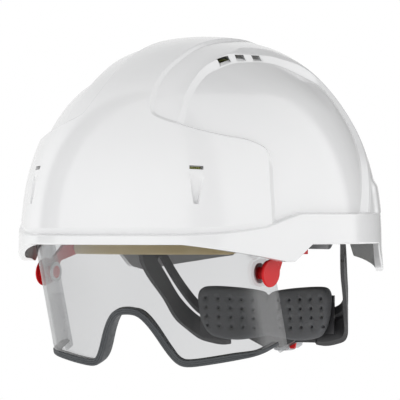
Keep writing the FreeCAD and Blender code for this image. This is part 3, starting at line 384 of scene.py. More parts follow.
def shell_relief(points):
    """Height over the plain dome of everything on the outside of the shell."""
    y, z = points[:, 1], points[:, 2]
    level = shell_levels(points)
    over_band = z - band_top(y)
    front = 1 - smooth_step(y, -98, -62)
    groove = -1.0 * front * (1 - soft_ramp(over_band - 0.3, 3.7, 0.25)) * (over_band > 0)
    level = level + groove
    rear = (smooth_step(y, REAR_PAD_START, REAR_PAD_START + 5)
            * (1 - smooth_step(z, REAR_PAD_TOP - 6, REAR_PAD_TOP)))
    level = level + REAR_PAD_RISE * rear
    in_band = 1 - soft_ramp(over_band + 0.5, 0.7, 0.35)
    level = level * (1 - in_band) + band_rise(points) * in_band
    flare = 1.0 * smooth_step(-z, 0, 16)
    level = level - arrow_depth(points)
    above_rim = np.clip(z - lower_edge(y), 0, 1.0)
    rim_round = 1.0 - np.sqrt(1 - (1 - above_rim) ** 2)
    return level + flare - rim_round


def shell_lining(points):
    """Height over the plain dome of the shell's inside."""
    return np.minimum(shell_levels(points), 0) - arrow_depth(points) - SHELL_WALL


# three ventilation slots through the ledge: first and last distance along it
VENT_SPANS = [(85.6, 98.5), (102.5, 113.0), (118.0, 129.0)]
VENT_FIRST = 0.9
VENT_LAST = 4.8
VENT_LEVELLING = 4.0


def vent_outline(first, last):
    """A slot between two rows of the ledge, as a closed loop of plan points."""
    kept = (ledge.travel > first) & (ledge.travel < last)
    low = ledge.row(VENT_FIRST)[kept]
    high = ledge.row(VENT_LAST)[kept]
    return np.vstack([low, high[::-1]])


def vent_slant(base, plan):
    """How far the lining's mesh is drawn up towards the crown, so that the vents' walls lie level."""
    over_ledge, near = ledge.distance(base)
    travel = ledge.travel[near]
    share = smooth_step(travel, 68, 84) * (1 - smooth_step(travel, 134, 150))
    share *= 1 - smooth_step(np.abs(over_ledge - 2.3), 3, 24)
    uphill = -plan / np.maximum(np.linalg.norm(plan, axis=1), 1)[:, None]
    return uphill * (VENT_LEVELLING * share)[:, None]


def slot_outline():
    half_wide, half_high = SLOT_SIZE[0] / 2, SLOT_SIZE[1] / 2
    corners = [
        (-half_wide, -half_high), (half_wide, -half_high), (half_wide, half_high), (-half_wide, half_high)]
    return dome_plan([brow_point(a, SLOT_AT[2] + u) for a, u in corners])


def inside_loop(loop, points):
    """True for plan points inside a closed loop."""
    within = np.zeros(len(points), bool)
    for (ax, ay), (bx, by) in zip(loop, np.roll(loop, -1, axis=0)):
        crosses = (ay > points[:, 1]) != (by > points[:, 1])
        with np.errstate(divide="ignore", invalid="ignore"):
            at = (bx - ax) * (points[:, 1] - ay) / (by - ay) + ax
        within ^= crosses & (points[:, 0] < at)
    return within


def level_row(height, offset=0.0, spacing=2.0):
    """A row of plan points round the left half of the dome at a height that varies with Y."""
    turns = np.linspace(-math.pi / 2, math.pi / 2, 700)
    ys = DOME_SETBACK + HALF_LENGTH * np.sin(turns)
    xs = HALF_WIDTH * np.cos(turns)
    zs = height(ys) + offset
    rise = np.clip(zs / CROWN_HEIGHT, 0, 1)
    share = (1 - rise ** DOME_POWER) ** (1 / DOME_POWER)
    line = np.stack([xs * share, DOME_SETBACK + (ys - DOME_SETBACK) * share, zs], 1)
    line = resample(line, spacing)
    plan = dome_plan(line)
    plan[0, 0] = plan[-1, 0] = 0
    return plan


def shell_rows():
    """Every row of plan points that the shell's mesh has to follow, as open or closed lines."""
    rows = []
    slope = box_slope(box_edge.points)
    for at in (-EDGE_ROUND - 0.5, -EDGE_ROUND, 0, EDGE_ROUND):
        rows.append((box_edge.row(at), False))
    for at in (-EDGE_ROUND, 0, EDGE_ROUND, EDGE_ROUND + 0.6):
        rows.append((box_edge.row(slope + at), False))
    for at in (-EDGE_ROUND - 0.6, -EDGE_ROUND, 0, EDGE_ROUND):
        rows.append((ledge.row(at), False))
    wide = CRESCENT_WIDTH * crescent_share(ledge.travel) + 0.3
    width = ledge_width(ledge.travel)
    rows.append((ledge.row(width - EDGE_ROUND), False))
    rows.append((ledge.row(width), False))
    for part in (0.35, 0.65, 0.85, 1.0):
        rows.append((ledge.row(width + wide * part), False))
    rows.append((ledge.row(width + wide + 0.5), False))
    for offset in (-1.4, -0.85, -0.5, -0.15, 0.2, 0.55, 1.2):
        rows.append((level_row(band_top, offset), False))
    for offset in (3.7, 4.0, 4.3, 4.9):
        row = level_row(band_top, offset)
        rows.append((row[dome_at(row)[:, 1] < -60], False))
    for offset in (0, 0.13, 0.45, 1.0, 1.6):
        rows.append((level_row(lower_edge, offset, 1.6), False))
    for height in (REAR_PAD_TOP - 6, REAR_PAD_TOP - 4, REAR_PAD_TOP - 2, REAR_PAD_TOP):
        row = level_row(lambda y: np.full(len(y), height))
        rows.append((row[dome_at(row)[:, 1] > REAR_PAD_START - 2], False))
    for first, last in VENT_SPANS:
        rows.append((vent_outline(first, last), True))
    rows.append((slot_outline(), True))
    for inset in (0.0, 0.6):
        left, right = [], []
        for height in np.linspace(ARROW_FOOT + inset, ARROW_TOP - inset, 14):
            share = (height - ARROW_FOOT) / (ARROW_TOP - ARROW_FOOT)
            half = ARROW_HALF_FOOT + (ARROW_HALF_TOP - ARROW_HALF_FOOT) * share ** 0.85 - inset
            left.append(brow_point(-half, height))
            right.append(brow_point(half, height))
        rows.append((dome_plan(left + right[::-1]), True))
    rows = [(row[row[:, 0] >= 0], closed) for row, closed in rows]
    reach = PLAN_RADIUS + 24
    spine = np.arange(-reach, reach + 1, MESH_SPACING * 0.8)
    rows.append((np.stack([np.zeros(len(spine)), spine], 1), False))
    return rows


MESH_SPACING = 3.6
MESH_CLEARANCE = 1.3


def triangulate(rows, inside, spacing, clearance, limits):
    """Plan points and triangles that follow every row and fill the inside with an even mesh."""
    points, edges = [], []
    for row, closed in rows:
        start = len(points)
        points.extend(row.tolist())
        count = len(row)
        edges.extend((start + k, start + k + 1) for k in range(count - 1))
        if closed:
            edges.append((start + count - 1, start))
    tree = kdtree.KDTree(len(points))
    for index, (a, b) in enumerate(points):
        tree.insert((a, b, 0), index)
    tree.balance()
    low_a, low_b, high_a, high_b = limits
    rise = spacing * math.sqrt(3) / 2
    for line in range(int((high_b - low_b) / rise)):
        b = low_b + line * rise
        for step in range(int((high_a - low_a) / spacing)):
            a = low_a + (step + 0.5 * (line % 2) + 0.5) * spacing
            if tree.find((a, b, 0))[2] > clearance:
                points.append([a, b])
    result = geometry.delaunay_2d_cdt([Vector(p) for p in points], edges, [], 0, 1e-4)
    plan = np.array([tuple(v) for v in result[0]])
    triangles = np.array([tuple(f) for f in result[2]])
    triangles = triangles[inside(plan[triangles].mean(1))]
    used = np.unique(triangles)
    renumber = np.full(len(plan), -1)
    renumber[used] = np.arange(len(used))
    return plan[used], renumber[triangles]


def in_shell(middle):
    """True for plan points of the shell's left half, outside its slots."""
    at = dome_at(middle)
    kept = (at[:, 2] > lower_edge(at[:, 1])) & (middle[:, 0] > 0)
    for first, last in VENT_SPANS:
        kept &= ~inside_loop(vent_outline(first, last), middle)
    return kept & ~inside_loop(slot_outline(), middle)


def build_shell():
    """The whole shell: outside, lining and the walls between them along every free edge."""
    reach = PLAN_RADIUS + 24
    plan, triangles = triangulate(
        shell_rows(), in_shell, MESH_SPACING, MESH_CLEARANCE, (0, -reach, reach, reach))
    base = dome_at(plan)
    corners = base[triangles]
    facing = np.cross(corners[:, 1] - corners[:, 0], corners[:, 2] - corners[:, 0])
    flipped = (facing * (corners.mean(1) - (0, 0, -40))).sum(1) < 0
    triangles[flipped] = triangles[flipped][:, ::-1]
    normal = dome_normals(plan)
    outside = base + normal * shell_relief(base)[:, None]
    lining_plan = plan + vent_slant(base, plan)
    lining_base = dome_at(lining_plan)
    lining = lining_base + dome_normals(lining_plan) * shell_lining(lining_base)[:, None]
    count = len(plan)
    faces = [tuple(t) for t in triangles] + [tuple(int(k) + count for k in t[::-1]) for t in triangles]
    owned = {}
    for t in triangles:
        for a, b in ((t[0], t[1]), (t[1], t[2]), (t[2], t[0])):
            owned[(int(a), int(b))] = owned.get((int(a), int(b)), 0) + 1
    middle = np.abs(plan[:, 0]) < 1e-6
    for a, b in owned:
        if (b, a) not in owned and not (middle[a] and middle[b]):
            faces.append((b, a, a + count, b + count))
    half = np.vstack([outside, lining])
    half_middle = np.concatenate([middle, middle])
    half[half_middle, 0] = 0
    twin = np.arange(len(half)) + len(half)
    twin[half_middle] = np.arange(len(half))[half_middle]
    mirrored = half * (-1, 1, 1)
    points = np.vstack([half, mirrored])
    faces += [tuple(int(twin[k]) for k in face[::-1]) for face in faces]
    item = new_piece("helmet_shell", points, faces, "root", "white_shell", ["shell"])
    clean_mesh(item)
    mark_sharp(item, 50)
    add_weighted_normals(item)
    return item


# ---------------------------------------------------------------- materials

class Finish:
    """A node material built step by step round one Principled shader."""

    def __init__(self, name, colour, roughness, **inputs):
        self.material = bpy.data.materials.new(name)
        self.material.use_nodes = True
        self.tree = self.material.node_tree
        self.shader = self.tree.nodes["Principled BSDF"]
        self.shader.inputs["Base Color"].default_value = (*colour, 1)
        self.shader.inputs["Roughness"].default_value = roughness
        for key, value in inputs.items():
            self.shader.inputs[key.replace("_", " ")].default_value = value
        self.place = self.node("ShaderNodeTexCoord").outputs["Object"]
        self.height = None

    def node(self, kind, **settings):
        made = self.tree.nodes.new(kind)
        for key, value in settings.items():
            if key in made.inputs:
                made.inputs[key].default_value = value
            else:
                setattr(made, key, value)
        return made

    def link(self, source, target):
        self.tree.links.new(source, target)

    def noise(self, scale, detail=3.0, roughness=0.5, stretch=None):
        """Noise in object space, in features per metre, stretched along an axis if asked."""
        made = self.node("ShaderNodeTexNoise", Scale=scale, Detail=detail, Roughness=roughness)
        source = self.place
        if stretch:
            mapping = self.node("ShaderNodeMapping")
            mapping.inputs["Scale"].default_value = stretch
            self.link(source, mapping.inputs["Vector"])
            source = mapping.outputs["Vector"]
        self.link(source, made.inputs["Vector"])
        return made.outputs["Fac"]

    def waves(self, scale, direction, distortion=0.0):
        made = self.node("ShaderNodeTexWave", Scale=scale, Distortion=distortion)
        made.bands_direction = direction
        self.link(self.place, made.inputs["Vector"])
        return made.outputs["Fac"]

    def ramp(self, source, low, high, first, last):
        """The source's range from low to high turned into first to last."""
        made = self.node("ShaderNodeMapRange")
        for key, value in (("From Min", low), ("From Max", high), ("To Min", first), ("To Max", last)):
            made.inputs[key].default_value = value
        self.link(source, made.inputs["Value"])
        return made.outputs["Result"]

    def mixed(self, source, first, last):
        """A colour between two, by a source from 0 to 1."""
        made = self.node("ShaderNodeMix", data_type="RGBA")
        self.link(source, made.inputs["Factor"])
        made.inputs["A"].default_value = (*first, 1)
        made.inputs["B"].default_value = (*last, 1)
        return made.outputs["Result"]

    def maths(self, operation, first, second):
        made = self.node("ShaderNodeMath", operation=operation)
        for index, value in enumerate((first, second)):
            if isinstance(value, (int, float)):
                made.inputs[index].default_value = value
            else:
                self.link(value, made.inputs[index])
        return made.outputs["Value"]

    def colour(self, source):
        self.link(source, self.shader.inputs["Base Color"])

    def rough(self, source):
        self.link(source, self.shader.inputs["Roughness"])

    def bump(self, source, distance, strength=1.0):
        """Relief from a source, its full range as deep as the distance in millimetres."""
        made = self.node("ShaderNodeBump", Distance=distance * MM, Strength=strength)
        self.link(source, made.inputs["Height"])
        self.link(made.outputs["Normal"], self.shader.inputs["Normal"])


def moulded_plastic(name, colour, roughness, grain, grain_depth, variation=0.04, **inputs):
    """Injection-moulded plastic: fine grain, faint cloudiness and slightly uneven gloss."""
    finish = Finish(name, colour, roughness, **inputs)
    cloud = finish.noise(28, 4)
    darker = tuple(c * (1 - variation) for c in colour)
    lighter = tuple(min(1, c * (1 + variation * 0.5)) for c in colour)
    finish.colour(finish.mixed(finish.ramp(cloud, 0.3, 0.7, 0, 1), darker, lighter))
    finish.rough(finish.ramp(finish.noise(160, 3), 0.3, 0.7, roughness * 0.9, roughness * 1.12))
    if grain_depth:
        finish.bump(finish.noise(grain, 2, 0.6), grain_depth)
    return finish.material


SHELL_COAT = 0.6


def white_shell():
    """Glossy white shell plastic with the faint waviness of a moulding; the lining is the same plastic,
    dull, with painted shade darkening its colour.
    """
    finish = Finish("white_shell", (0.83, 0.832, 0.84), 0.16, IOR=1.6, Coat_Roughness=0.03)
    cloud = finish.mixed(
        finish.ramp(finish.noise(9, 2), 0.3, 0.7, 0, 1), (0.8, 0.803, 0.81), (0.83, 0.831, 0.835))
    # the lining's grey is painted shade: the inside is the same white plastic, painted darker for the shade
    # it lies in; inside faces are those whose normal points towards the object's origin
    lining = finish.mixed(finish.noise(12, 2), (0.4, 0.402, 0.405), (0.44, 0.442, 0.445))
    outward = finish.node("ShaderNodeVectorMath", operation="DOT_PRODUCT")
    finish.link(finish.node("ShaderNodeTexCoord").outputs["Normal"], outward.inputs[0])
    finish.link(finish.place, outward.inputs[1])
    side = finish.ramp(outward.outputs["Value"], -0.01, 0.01, 0, 1)
    both = finish.node("ShaderNodeMix", data_type="RGBA")
    finish.link(side, both.inputs["Factor"])
    finish.link(lining, both.inputs["A"])
    finish.link(cloud, both.inputs["B"])
    finish.colour(both.outputs["Result"])
    finish.link(finish.maths("MULTIPLY", side, SHELL_COAT), finish.shader.inputs["Coat Weight"])
    finish.link(finish.maths("MULTIPLY", side, 0.5), finish.shader.inputs["Specular IOR Level"])
    finish.rough(finish.ramp(finish.noise(70, 3), 0.3, 0.7, 0.13, 0.19))
    finish.bump(finish.noise(14, 1), 0.05, 0.5)
    return finish.material


def clear_lens():
    """Clear polycarbonate: see-through with a grey tint that deepens, and a mirror that grows, edge-on."""
    finish = Finish("clear_lens", (1, 1, 1), 0.05)
    tree = finish.tree
    through = finish.node("ShaderNodeBsdfTransparent")
    gloss = finish.node("ShaderNodeBsdfGlossy", Roughness=0.04, Color=(0.9, 0.9, 0.9, 1))
    facing = finish.node("ShaderNodeLayerWeight").outputs["Facing"]
    steep = finish.maths("POWER", facing, 1.7)
    cloud = finish.ramp(finish.noise(6, 2), 0.3, 0.7, 0, 0.25)
    tint = finish.mixed(finish.maths("ADD", steep, cloud), (0.86, 0.862, 0.866), (0.66, 0.665, 0.67))
    finish.link(tint, through.inputs["Color"])
    mixed = finish.node("ShaderNodeMixShader")
    finish.link(finish.ramp(steep, 0, 1, 0.008, 0.6), mixed.inputs["Fac"])
    finish.link(through.outputs["BSDF"], mixed.inputs[1])
    finish.link(gloss.outputs["BSDF"], mixed.inputs[2])
    finish.link(mixed.outputs["Shader"], tree.nodes["Material Output"].inputs["Surface"])
    tree.nodes.remove(finish.shader)
    return finish.material


def seal_rubber():
    finish = Finish("seal_rubber", (0.045, 0.05, 0.055), 0.55)
    finish.colour(finish.mixed(finish.noise(60, 4), (0.035, 0.04, 0.045), (0.07, 0.075, 0.08)))
    finish.rough(finish.ramp(finish.noise(300, 3), 0.3, 0.7, 0.42, 0.62))
    finish.bump(finish.noise(900, 2), 0.05)
    return finish.material


def sweatband_cloth():
    """Brushed tan cloth with a fine weave and a little pile."""
    finish = Finish("sweatband_cloth", (0.42, 0.33, 0.15), 0.85, Sheen_Weight=0.4, Sheen_Roughness=0.5)
    weave = finish.maths("MULTIPLY", finish.waves(420, "DIAGONAL"), finish.waves(420, "Z"))
    mottled = finish.maths("ADD", finish.maths("MULTIPLY", weave, 0.5), finish.noise(90, 5))
    finish.colour(finish.mixed(finish.ramp(mottled, 0.3, 1.0, 0, 1), (0.8, 0.62, 0.3), (0.94, 0.77, 0.45)))
    finish.bump(finish.maths("ADD", weave, finish.noise(1500, 2)), 0.18)
    return finish.material


def webbing():
    """Woven polyester tape: a dense herringbone of light threads, yellow-green as the crown straps are."""
    finish = Finish("webbing", (0.42, 0.44, 0.12), 0.7, Sheen_Weight=0.25)
    weave = finish.maths("MULTIPLY", finish.waves(330, "X"), finish.waves(330, "Y"))
    finish.colour(finish.mixed(weave, (0.26, 0.28, 0.06), (0.55, 0.57, 0.2)))
    finish.bump(weave, 0.25)
    return finish.material


def pad_foam():
    """Dark grey closed-cell foam with a pebbled skin."""
    finish = Finish("pad_foam", (0.06, 0.062, 0.066), 0.75)
    cells = finish.node("ShaderNodeTexVoronoi", Scale=1100.0)
    finish.link(finish.place, cells.inputs["Vector"])
    cloud = finish.noise(45, 5)
    finish.colour(finish.mixed(
        finish.ramp(cloud, 0.3, 0.7, 0, 1), (0.07, 0.072, 0.076), (0.105, 0.108, 0.114)))
    finish.bump(finish.maths("ADD", cells.outputs["Distance"], finish.noise(400, 3)), 0.16)
    return finish.material


def steel():
    finish = Finish("steel", (0.55, 0.55, 0.56), 0.32, Metallic=1.0)
    finish.rough(finish.ramp(finish.noise(500, 3, stretch=(1, 12, 1)), 0.3, 0.7, 0.24, 0.42))
    finish.bump(finish.noise(700, 2, stretch=(1, 10, 1)), 0.02)
    return finish.material


MATERIALS = {
    "white_shell": white_shell(),
    "clear_lens": clear_lens(),
    "seal_rubber": seal_rubber(),
    "grey_plastic": moulded_plastic("grey_plastic", (0.075, 0.078, 0.085), 0.38, 650, 0.03),
    "black_plastic": moulded_plastic("black_plastic", (0.033, 0.033, 0.035), 0.36, 260, 0, 0.06),
    "knob_plastic": moulded_plastic("knob_plastic", (0.45, 0.46, 0.48), 0.3, 700, 0.02),
    "red_plastic": moulded_plastic(
        "red_plastic", (0.62, 0.011, 0.014), 0.3, 600, 0.01, 0.1, Specular_IOR_Level=0.18),
    "sweatband_cloth": sweatband_cloth(),
    "webbing": webbing(),
    "pad_foam": pad_foam(),
    "steel": steel(),
}

NODE_SLOTS = {
    part["node"]: part.get("material_slot") for part in frame["record"].get("subparts", [])
}


# CAD nodes whose edges are softened, with the bevel's width in millimetres
BEVELLED = {
    "nape_frame": 0.35, "ratchet_housing": 0.5, "ratchet_cover": 0.4, "ratchet_knob": 0.6,
    "left_pivot_cap": 0.5, "right_pivot_cap": 0.5,
}


def finish_cad_nodes():
    """Every CAD node gets its slot's material, and the nodes listed in BEVELLED get softened edges too."""
    for name, item in frame["nodes"].items():
        slot = NODE_SLOTS.get(name) or "grey_plastic"
        item.data.materials.clear()
        item.data.materials.append(MATERIALS[slot])
        if name in BEVELLED:
            add_bevel(item, BEVELLED[name])


# ---------------------------------------------------------------- lens and seal

LENS_FRONT_RADIUS = 135.0
LENS_CORNER_RADIUS = 21.0
LENS_FRONT_ANGLE = math.radians(29.8)
LENS_SIDE_ANGLE = math.radians(82.0)
LENS_SIDE_LENGTH = 20.2
LENS_WALL = 2.2
LENS_RAKE = math.radians(19.0)
LENS_FRONT = 107.8
LENS_TAB_START = 45.0
NOSE_CURVE = [(0, -45.0), (9, -47.2), (16.8, -57.4), (23.6, -71.2), (30.6, -80.6)]


def lens_world(points):
    """From the lens's own upright frame to the helmet's, by its rake."""
    p = np.asarray(points, float)
    cos, sin = math.cos(LENS_RAKE), math.sin(LENS_RAKE)
    return np.stack([
        p[..., 0], -LENS_FRONT + p[..., 1] * cos - p[..., 2] * sin, p[..., 1] * sin + p[..., 2] * cos], -1)


def lens_plan(travel, inset):
    """Plan point and inward direction at a distance along the lens from its middle, plus to the left."""
    side = np.sign(travel)
    run = abs(travel)
    front_length = LENS_FRONT_RADIUS * LENS_FRONT_ANGLE
    corner_length = LENS_CORNER_RADIUS * (LENS_SIDE_ANGLE - LENS_FRONT_ANGLE)
    spacing = LENS_FRONT_RADIUS - LENS_CORNER_RADIUS
    corner = (spacing * math.sin(LENS_FRONT_ANGLE), LENS_FRONT_RADIUS - spacing * math.cos(LENS_FRONT_ANGLE))
    if run < front_length:
        angle = run / LENS_FRONT_RADIUS
        centre, radius, extra = (0, LENS_FRONT_RADIUS), LENS_FRONT_RADIUS, 0
    else:
        angle = LENS_FRONT_ANGLE + min(
            (run - front_length) / LENS_CORNER_RADIUS, LENS_SIDE_ANGLE - LENS_FRONT_ANGLE)
        centre, radius, extra = corner, LENS_CORNER_RADIUS, max(0, run - front_length - corner_length)
    outward = (math.sin(angle), -math.cos(angle))
    x = centre[0] + (radius - inset) * outward[0] + extra * math.cos(angle)
    y = centre[1] + (radius - inset) * outward[1] + extra * math.sin(angle)
    return np.array([side * x if side else x, y]), np.array([-side * outward[0], -outward[1]])


LENS_HALF_TRAVEL = (
    LENS_FRONT_RADIUS * LENS_FRONT_ANGLE
    + LENS_CORNER_RADIUS * (LENS_SIDE_ANGLE - LENS_FRONT_ANGLE) + LENS_SIDE_LENGTH)
_nose = spline([(-9, -47.2)] + NOSE_CURVE + [(44, -81.8)])


def lens_bottom(x, y):
    """Height of the lens's bottom edge in its own frame."""
    across = abs(x)
    if y >= LENS_TAB_START:
        return -88.0
    if across < 40:
        return float(np.interp(across, _nose[:, 0], _nose[:, 1]))
    return float(np.interp(across, [40, 68, 90], [-81.7, -80.6, -81.0]))


def lens_top(y):
    return float(np.interp(y, [0, 7.7, 23, 60], [7.3, 5.8, -9, -21.5]))


def build_lens():
    """The lens as a closed wall that follows its plan, between its bottom and top edges."""
    travels = np.concatenate([np.arange(-LENS_HALF_TRAVEL, LENS_HALF_TRAVEL, 1.3), [LENS_HALF_TRAVEL]])
    rows = 30
    rounding = 0.5
    section = [(rounding, 0, 0), (0, 0, rounding), (0, 1, -rounding), (rounding, 1, 0),
               (LENS_WALL - rounding, 1, 0), (LENS_WALL, 1, -rounding), (LENS_WALL, 0, rounding),
               (LENS_WALL - rounding, 0, 0)]
    loop = []
    for (inset, share, nudge), (inset2, share2, nudge2) in zip(section, section[1:] + section[:1]):
        steps = rows if share != share2 else 1
        for k in range(steps):
            t = k / steps
            loop.append(
                (inset + (inset2 - inset) * t, share + (share2 - share) * t, nudge + (nudge2 - nudge) * t))
    points, faces = [], []
    for travel in travels:
        outer, _ = lens_plan(travel, 0)
        low, high = lens_bottom(*outer), lens_top(outer[1])
        for inset, share, nudge in loop:
            (x, y), _ = lens_plan(travel, inset)
            points.append((x, y, low + (high - low) * share + nudge))
    count = len(loop)
    for column in range(len(travels) - 1):
        for k in range(count):
            a = column * count + k
            b = column * count + (k + 1) % count
            faces.append((a, b, b + count, a + count))
    faces.append(tuple(range(count)))
    last = (len(travels) - 1) * count
    faces.append(tuple(last + k for k in range(count))[::-1])
    lens = new_piece("eye_lens", lens_world(points), faces, "lens", "clear_lens", ["lens"])
    fix_normals(lens)
    mark_sharp(lens, 40)
    return lens


def fix_normals(item):
    """Turns every face outwards."""
    work = bmesh.new()
    work.from_mesh(item.data)
    bmesh.ops.recalc_face_normals(work, faces=work.faces)
    work.to_mesh(item.data)
    work.free()


def mark_sharp(item, degrees):
    """Keeps the shading crisp across folds sharper than this."""
    work = bmesh.new()
    work.from_mesh(item.data)
    for edge in work.edges:
        if len(edge.link_faces) == 2 and edge.calc_face_angle(0) > math.radians(degrees):
            edge.smooth = False
    work.to_mesh(item.data)
    work.free()


def sweep(path, across, up, section_at, closed=False):
    """Points and faces of a closed section carried along a path, with flat ends if the path is open."""
    points, faces = [], []
    for index, here in enumerate(path):
        section = section_at(index)
        for out, rise in section:
            points.append(here + across[index] * out + up[index] * rise)
    count = len(section)
    for column in range(len(path) - (0 if closed else 1)):
        onward = (column + 1) % len(path)
        for k in range(count):
            here, there = column * count + k, column * count + (k + 1) % count
            faces.append((here, there, onward * count + (k + 1) % count, onward * count + k))
    if not closed:
        last = (len(path) - 1) * count
        faces.append(tuple(range(count)))
        faces.append(tuple(last + k for k in range(count))[::-1])
    return points, faces


SEAL_DEPTH = 4.8
NOSE_FLANGE = 9.2


def build_seal():
    """The soft channel on the lens's lower edge, with a wide flange over the nose."""
    end = LENS_HALF_TRAVEL - 9.5
    travels = np.arange(-end, end + 0.6, 1.2)
    path, inward = [], []
    for travel in travels:
        (x, y), direction = lens_plan(travel, 0)
        path.append((x, y, lens_bottom(x, min(y, LENS_TAB_START - 0.1))))
        inward.append((direction[0], direction[1], 0))
    path = np.array(path)
    for _ in range(6):
        path[1:-1] = (path[:-2] + 2 * path[1:-1] + path[2:]) / 4
    path = lens_world(path)
    inward = lens_world(np.array(inward)) - lens_world(np.zeros(3))
    tangent = np.gradient(path, axis=0)
    tangent /= np.linalg.norm(tangent, axis=1)[:, None]
    inward -= tangent * (tangent * inward).sum(1)[:, None]
    inward /= np.linalg.norm(inward, axis=1)[:, None]
    up = np.cross(inward, tangent)
    up /= np.linalg.norm(up, axis=1)[:, None]
    if up[len(up) // 2][2] < 0:
        up = -up

    def section_at(index):
        x = abs(path[index][0])
        reach = SEAL_DEPTH + (NOSE_FLANGE - SEAL_DEPTH) * (1 - smooth_step(x, 24, 36))
        end = min(index, len(path) - 1 - index)
        rise = 0.6 + 2.2 * smooth_step(end, 2, 34)
        return [
            (0.1, rise), (-0.45, rise), (-0.75, rise - 0.4), (-0.78, rise - 1.2), (-0.5, rise - 1.4),
            (-0.78, rise - 1.6), (-0.8, 0.3), (-0.5, 0.1), (-0.8, -0.1), (-0.75, -1.0), (-0.4, -1.5),
            (0.4, -1.6), (reach * 0.5, -1.5), (reach - 0.7, -1.2), (reach - 0.1, -0.8), (reach, -0.3),
            (reach - 0.4, 0.1), (reach * 0.5 + 1.6, 0.35), (3.7, 0.8), (3.2, 1.4), (3.1, rise - 0.5),
            (2.8, rise), (2.3, rise)]

    points, faces = sweep(path, inward, up, section_at)
    seal = new_piece("lens_seal_strip", points, faces, "lens", "seal_rubber", ["lens_seal"])
    fix_normals(seal)
    mark_sharp(seal, 60)
    return seal


# ---------------------------------------------------------------- soft parts

BAND_HALF_WIDTH = 80.0
BAND_HALF_LENGTH = 94.5
BAND_CENTRE = 5.0
BAND_WALL = 2.0
SWEAT_END = -55.0
SWEAT_BOTTOM = -6.4
SWEAT_TOP = 23.0


def band_point(turn, offset):
    """Plan point outside the headband's outer face, by the turn from straight ahead."""
    x = (BAND_HALF_WIDTH + offset) * math.sin(turn)
    y = BAND_CENTRE - (BAND_HALF_LENGTH + offset) * math.cos(turn)
    return np.array([x, y, 0.0])


BAND_BOTTOM = -4.0
BAND_TOP = 22.0
BAND_SIDE_BOTTOM = 0.6


def build_headband():
    """The headband's plastic strip, cut a little higher at the temples than at the brow and the nape."""
    turns = np.linspace(0, 2 * math.pi, 240, endpoint=False)
    path = [band_point(t, 0) for t in turns]
    across = [band_point(t, 1) - band_point(t, 0) for t in turns]
    up = [np.array([0, 0, 1.0])] * len(turns)

    def section_at(index):
        y = path[index][1]
        relief = smooth_step(y, -48, -38) * (1 - smooth_step(y, 66, 76))
        low = BAND_BOTTOM + (BAND_SIDE_BOTTOM - BAND_BOTTOM) * relief
        soft = 0.5
        return [(-BAND_WALL, low + soft), (-BAND_WALL + soft, low), (-soft, low), (0, low + soft),
                (0, BAND_TOP - soft), (-soft, BAND_TOP),
                (-BAND_WALL + soft, BAND_TOP), (-BAND_WALL, BAND_TOP - soft)]

    points, faces = sweep(path, across, up, section_at, closed=True)
    strip = new_piece("head_strip", points, faces, "root", "grey_plastic", ["headband"])
    fix_normals(strip)
    return strip


def build_sweatband():
    """The padded brow band: a soft folded cloth over foam, pinched by its stitch lines."""
    limit = math.acos((BAND_CENTRE - SWEAT_END) / (BAND_HALF_LENGTH + 1.0))
    turns = np.linspace(-limit, limit, 150)
    middle = (SWEAT_TOP + SWEAT_BOTTOM) / 2
    half = (SWEAT_TOP - SWEAT_BOTTOM) / 2
    path = [band_point(t, 0) + (0, 0, middle) for t in turns]
    across = [-(band_point(t, 1) - band_point(t, 0)) for t in turns]
    up = [np.array([0, 0, 1.0])] * len(turns)

    def section_at(index):
        edge = min(index, len(turns) - 1 - index)
        tip = math.sqrt(max(0.0, 1 - max(0.0, 1 - edge / 9.0) ** 2))
        tall = half - 6.0 * (1 - tip)
        full = 1.0 + 0.12 * math.cos(turns[index] * 26)
        loop = []
        steps = 44
        for k in range(steps):
            a = 2 * math.pi * k / steps
            rise = tall * math.copysign(abs(math.sin(a)) ** 0.55, math.sin(a))
            inner = 4.9 * (0.35 + 0.65 * tip) * full
            out = inner if math.cos(a) > 0 else 1.5 * (0.4 + 0.6 * tip)
            depth = abs(math.cos(a)) ** 0.55
            if math.cos(a) > 0:
                for line in (0.78, -0.78):
                    depth *= 1 - 0.4 * math.exp(-((rise / half - line) / 0.06) ** 2)
            centre = 1.0
            loop.append((centre + math.copysign(out * depth, math.cos(a)), rise))
        return loop

    points, faces = sweep(path, across, up, section_at)
    pad = new_piece("brow_sweatband", points, faces, "root", "sweatband_cloth", ["sweatband"])
    fix_normals(pad)
    smooth = pad.modifiers.new("soft", "SUBSURF")
    smooth.levels = smooth.render_levels = 1
    return pad


FOAM_END = (50.0, 79.5, 86.0)
FOAM_MIDDLE = (84.5, 92.0)


def circle_through(end_x, end_y, middle_y):
    """Centre and radius of the arc through (-x, y), (0, middle) and (x, y)."""
    sag = middle_y - end_y
    radius = (end_x ** 2 + sag ** 2) / (2 * sag)
    return middle_y - radius, radius


def foam_outline():
    """Front view of the two-lobed nape pad, counter-clockwise, as one smooth closed line."""
    right = [(0.9, -35.6), (3.4, -32.2), (12, -30.4), (26, -29), (40, -28.4), (46.5, -29.6), (49.2, -34),
             (49, -41), (47.6, -49), (44, -57), (38, -61.6), (24, -63.6), (12, -62.4), (0, -60.8)]
    left = [(-x, z) for x, z in right[-2::-1]]
    line = spline(right + left + [(0, -37.0)] + right[:1], 8)
    return resample(line, 1.5)[:-1]


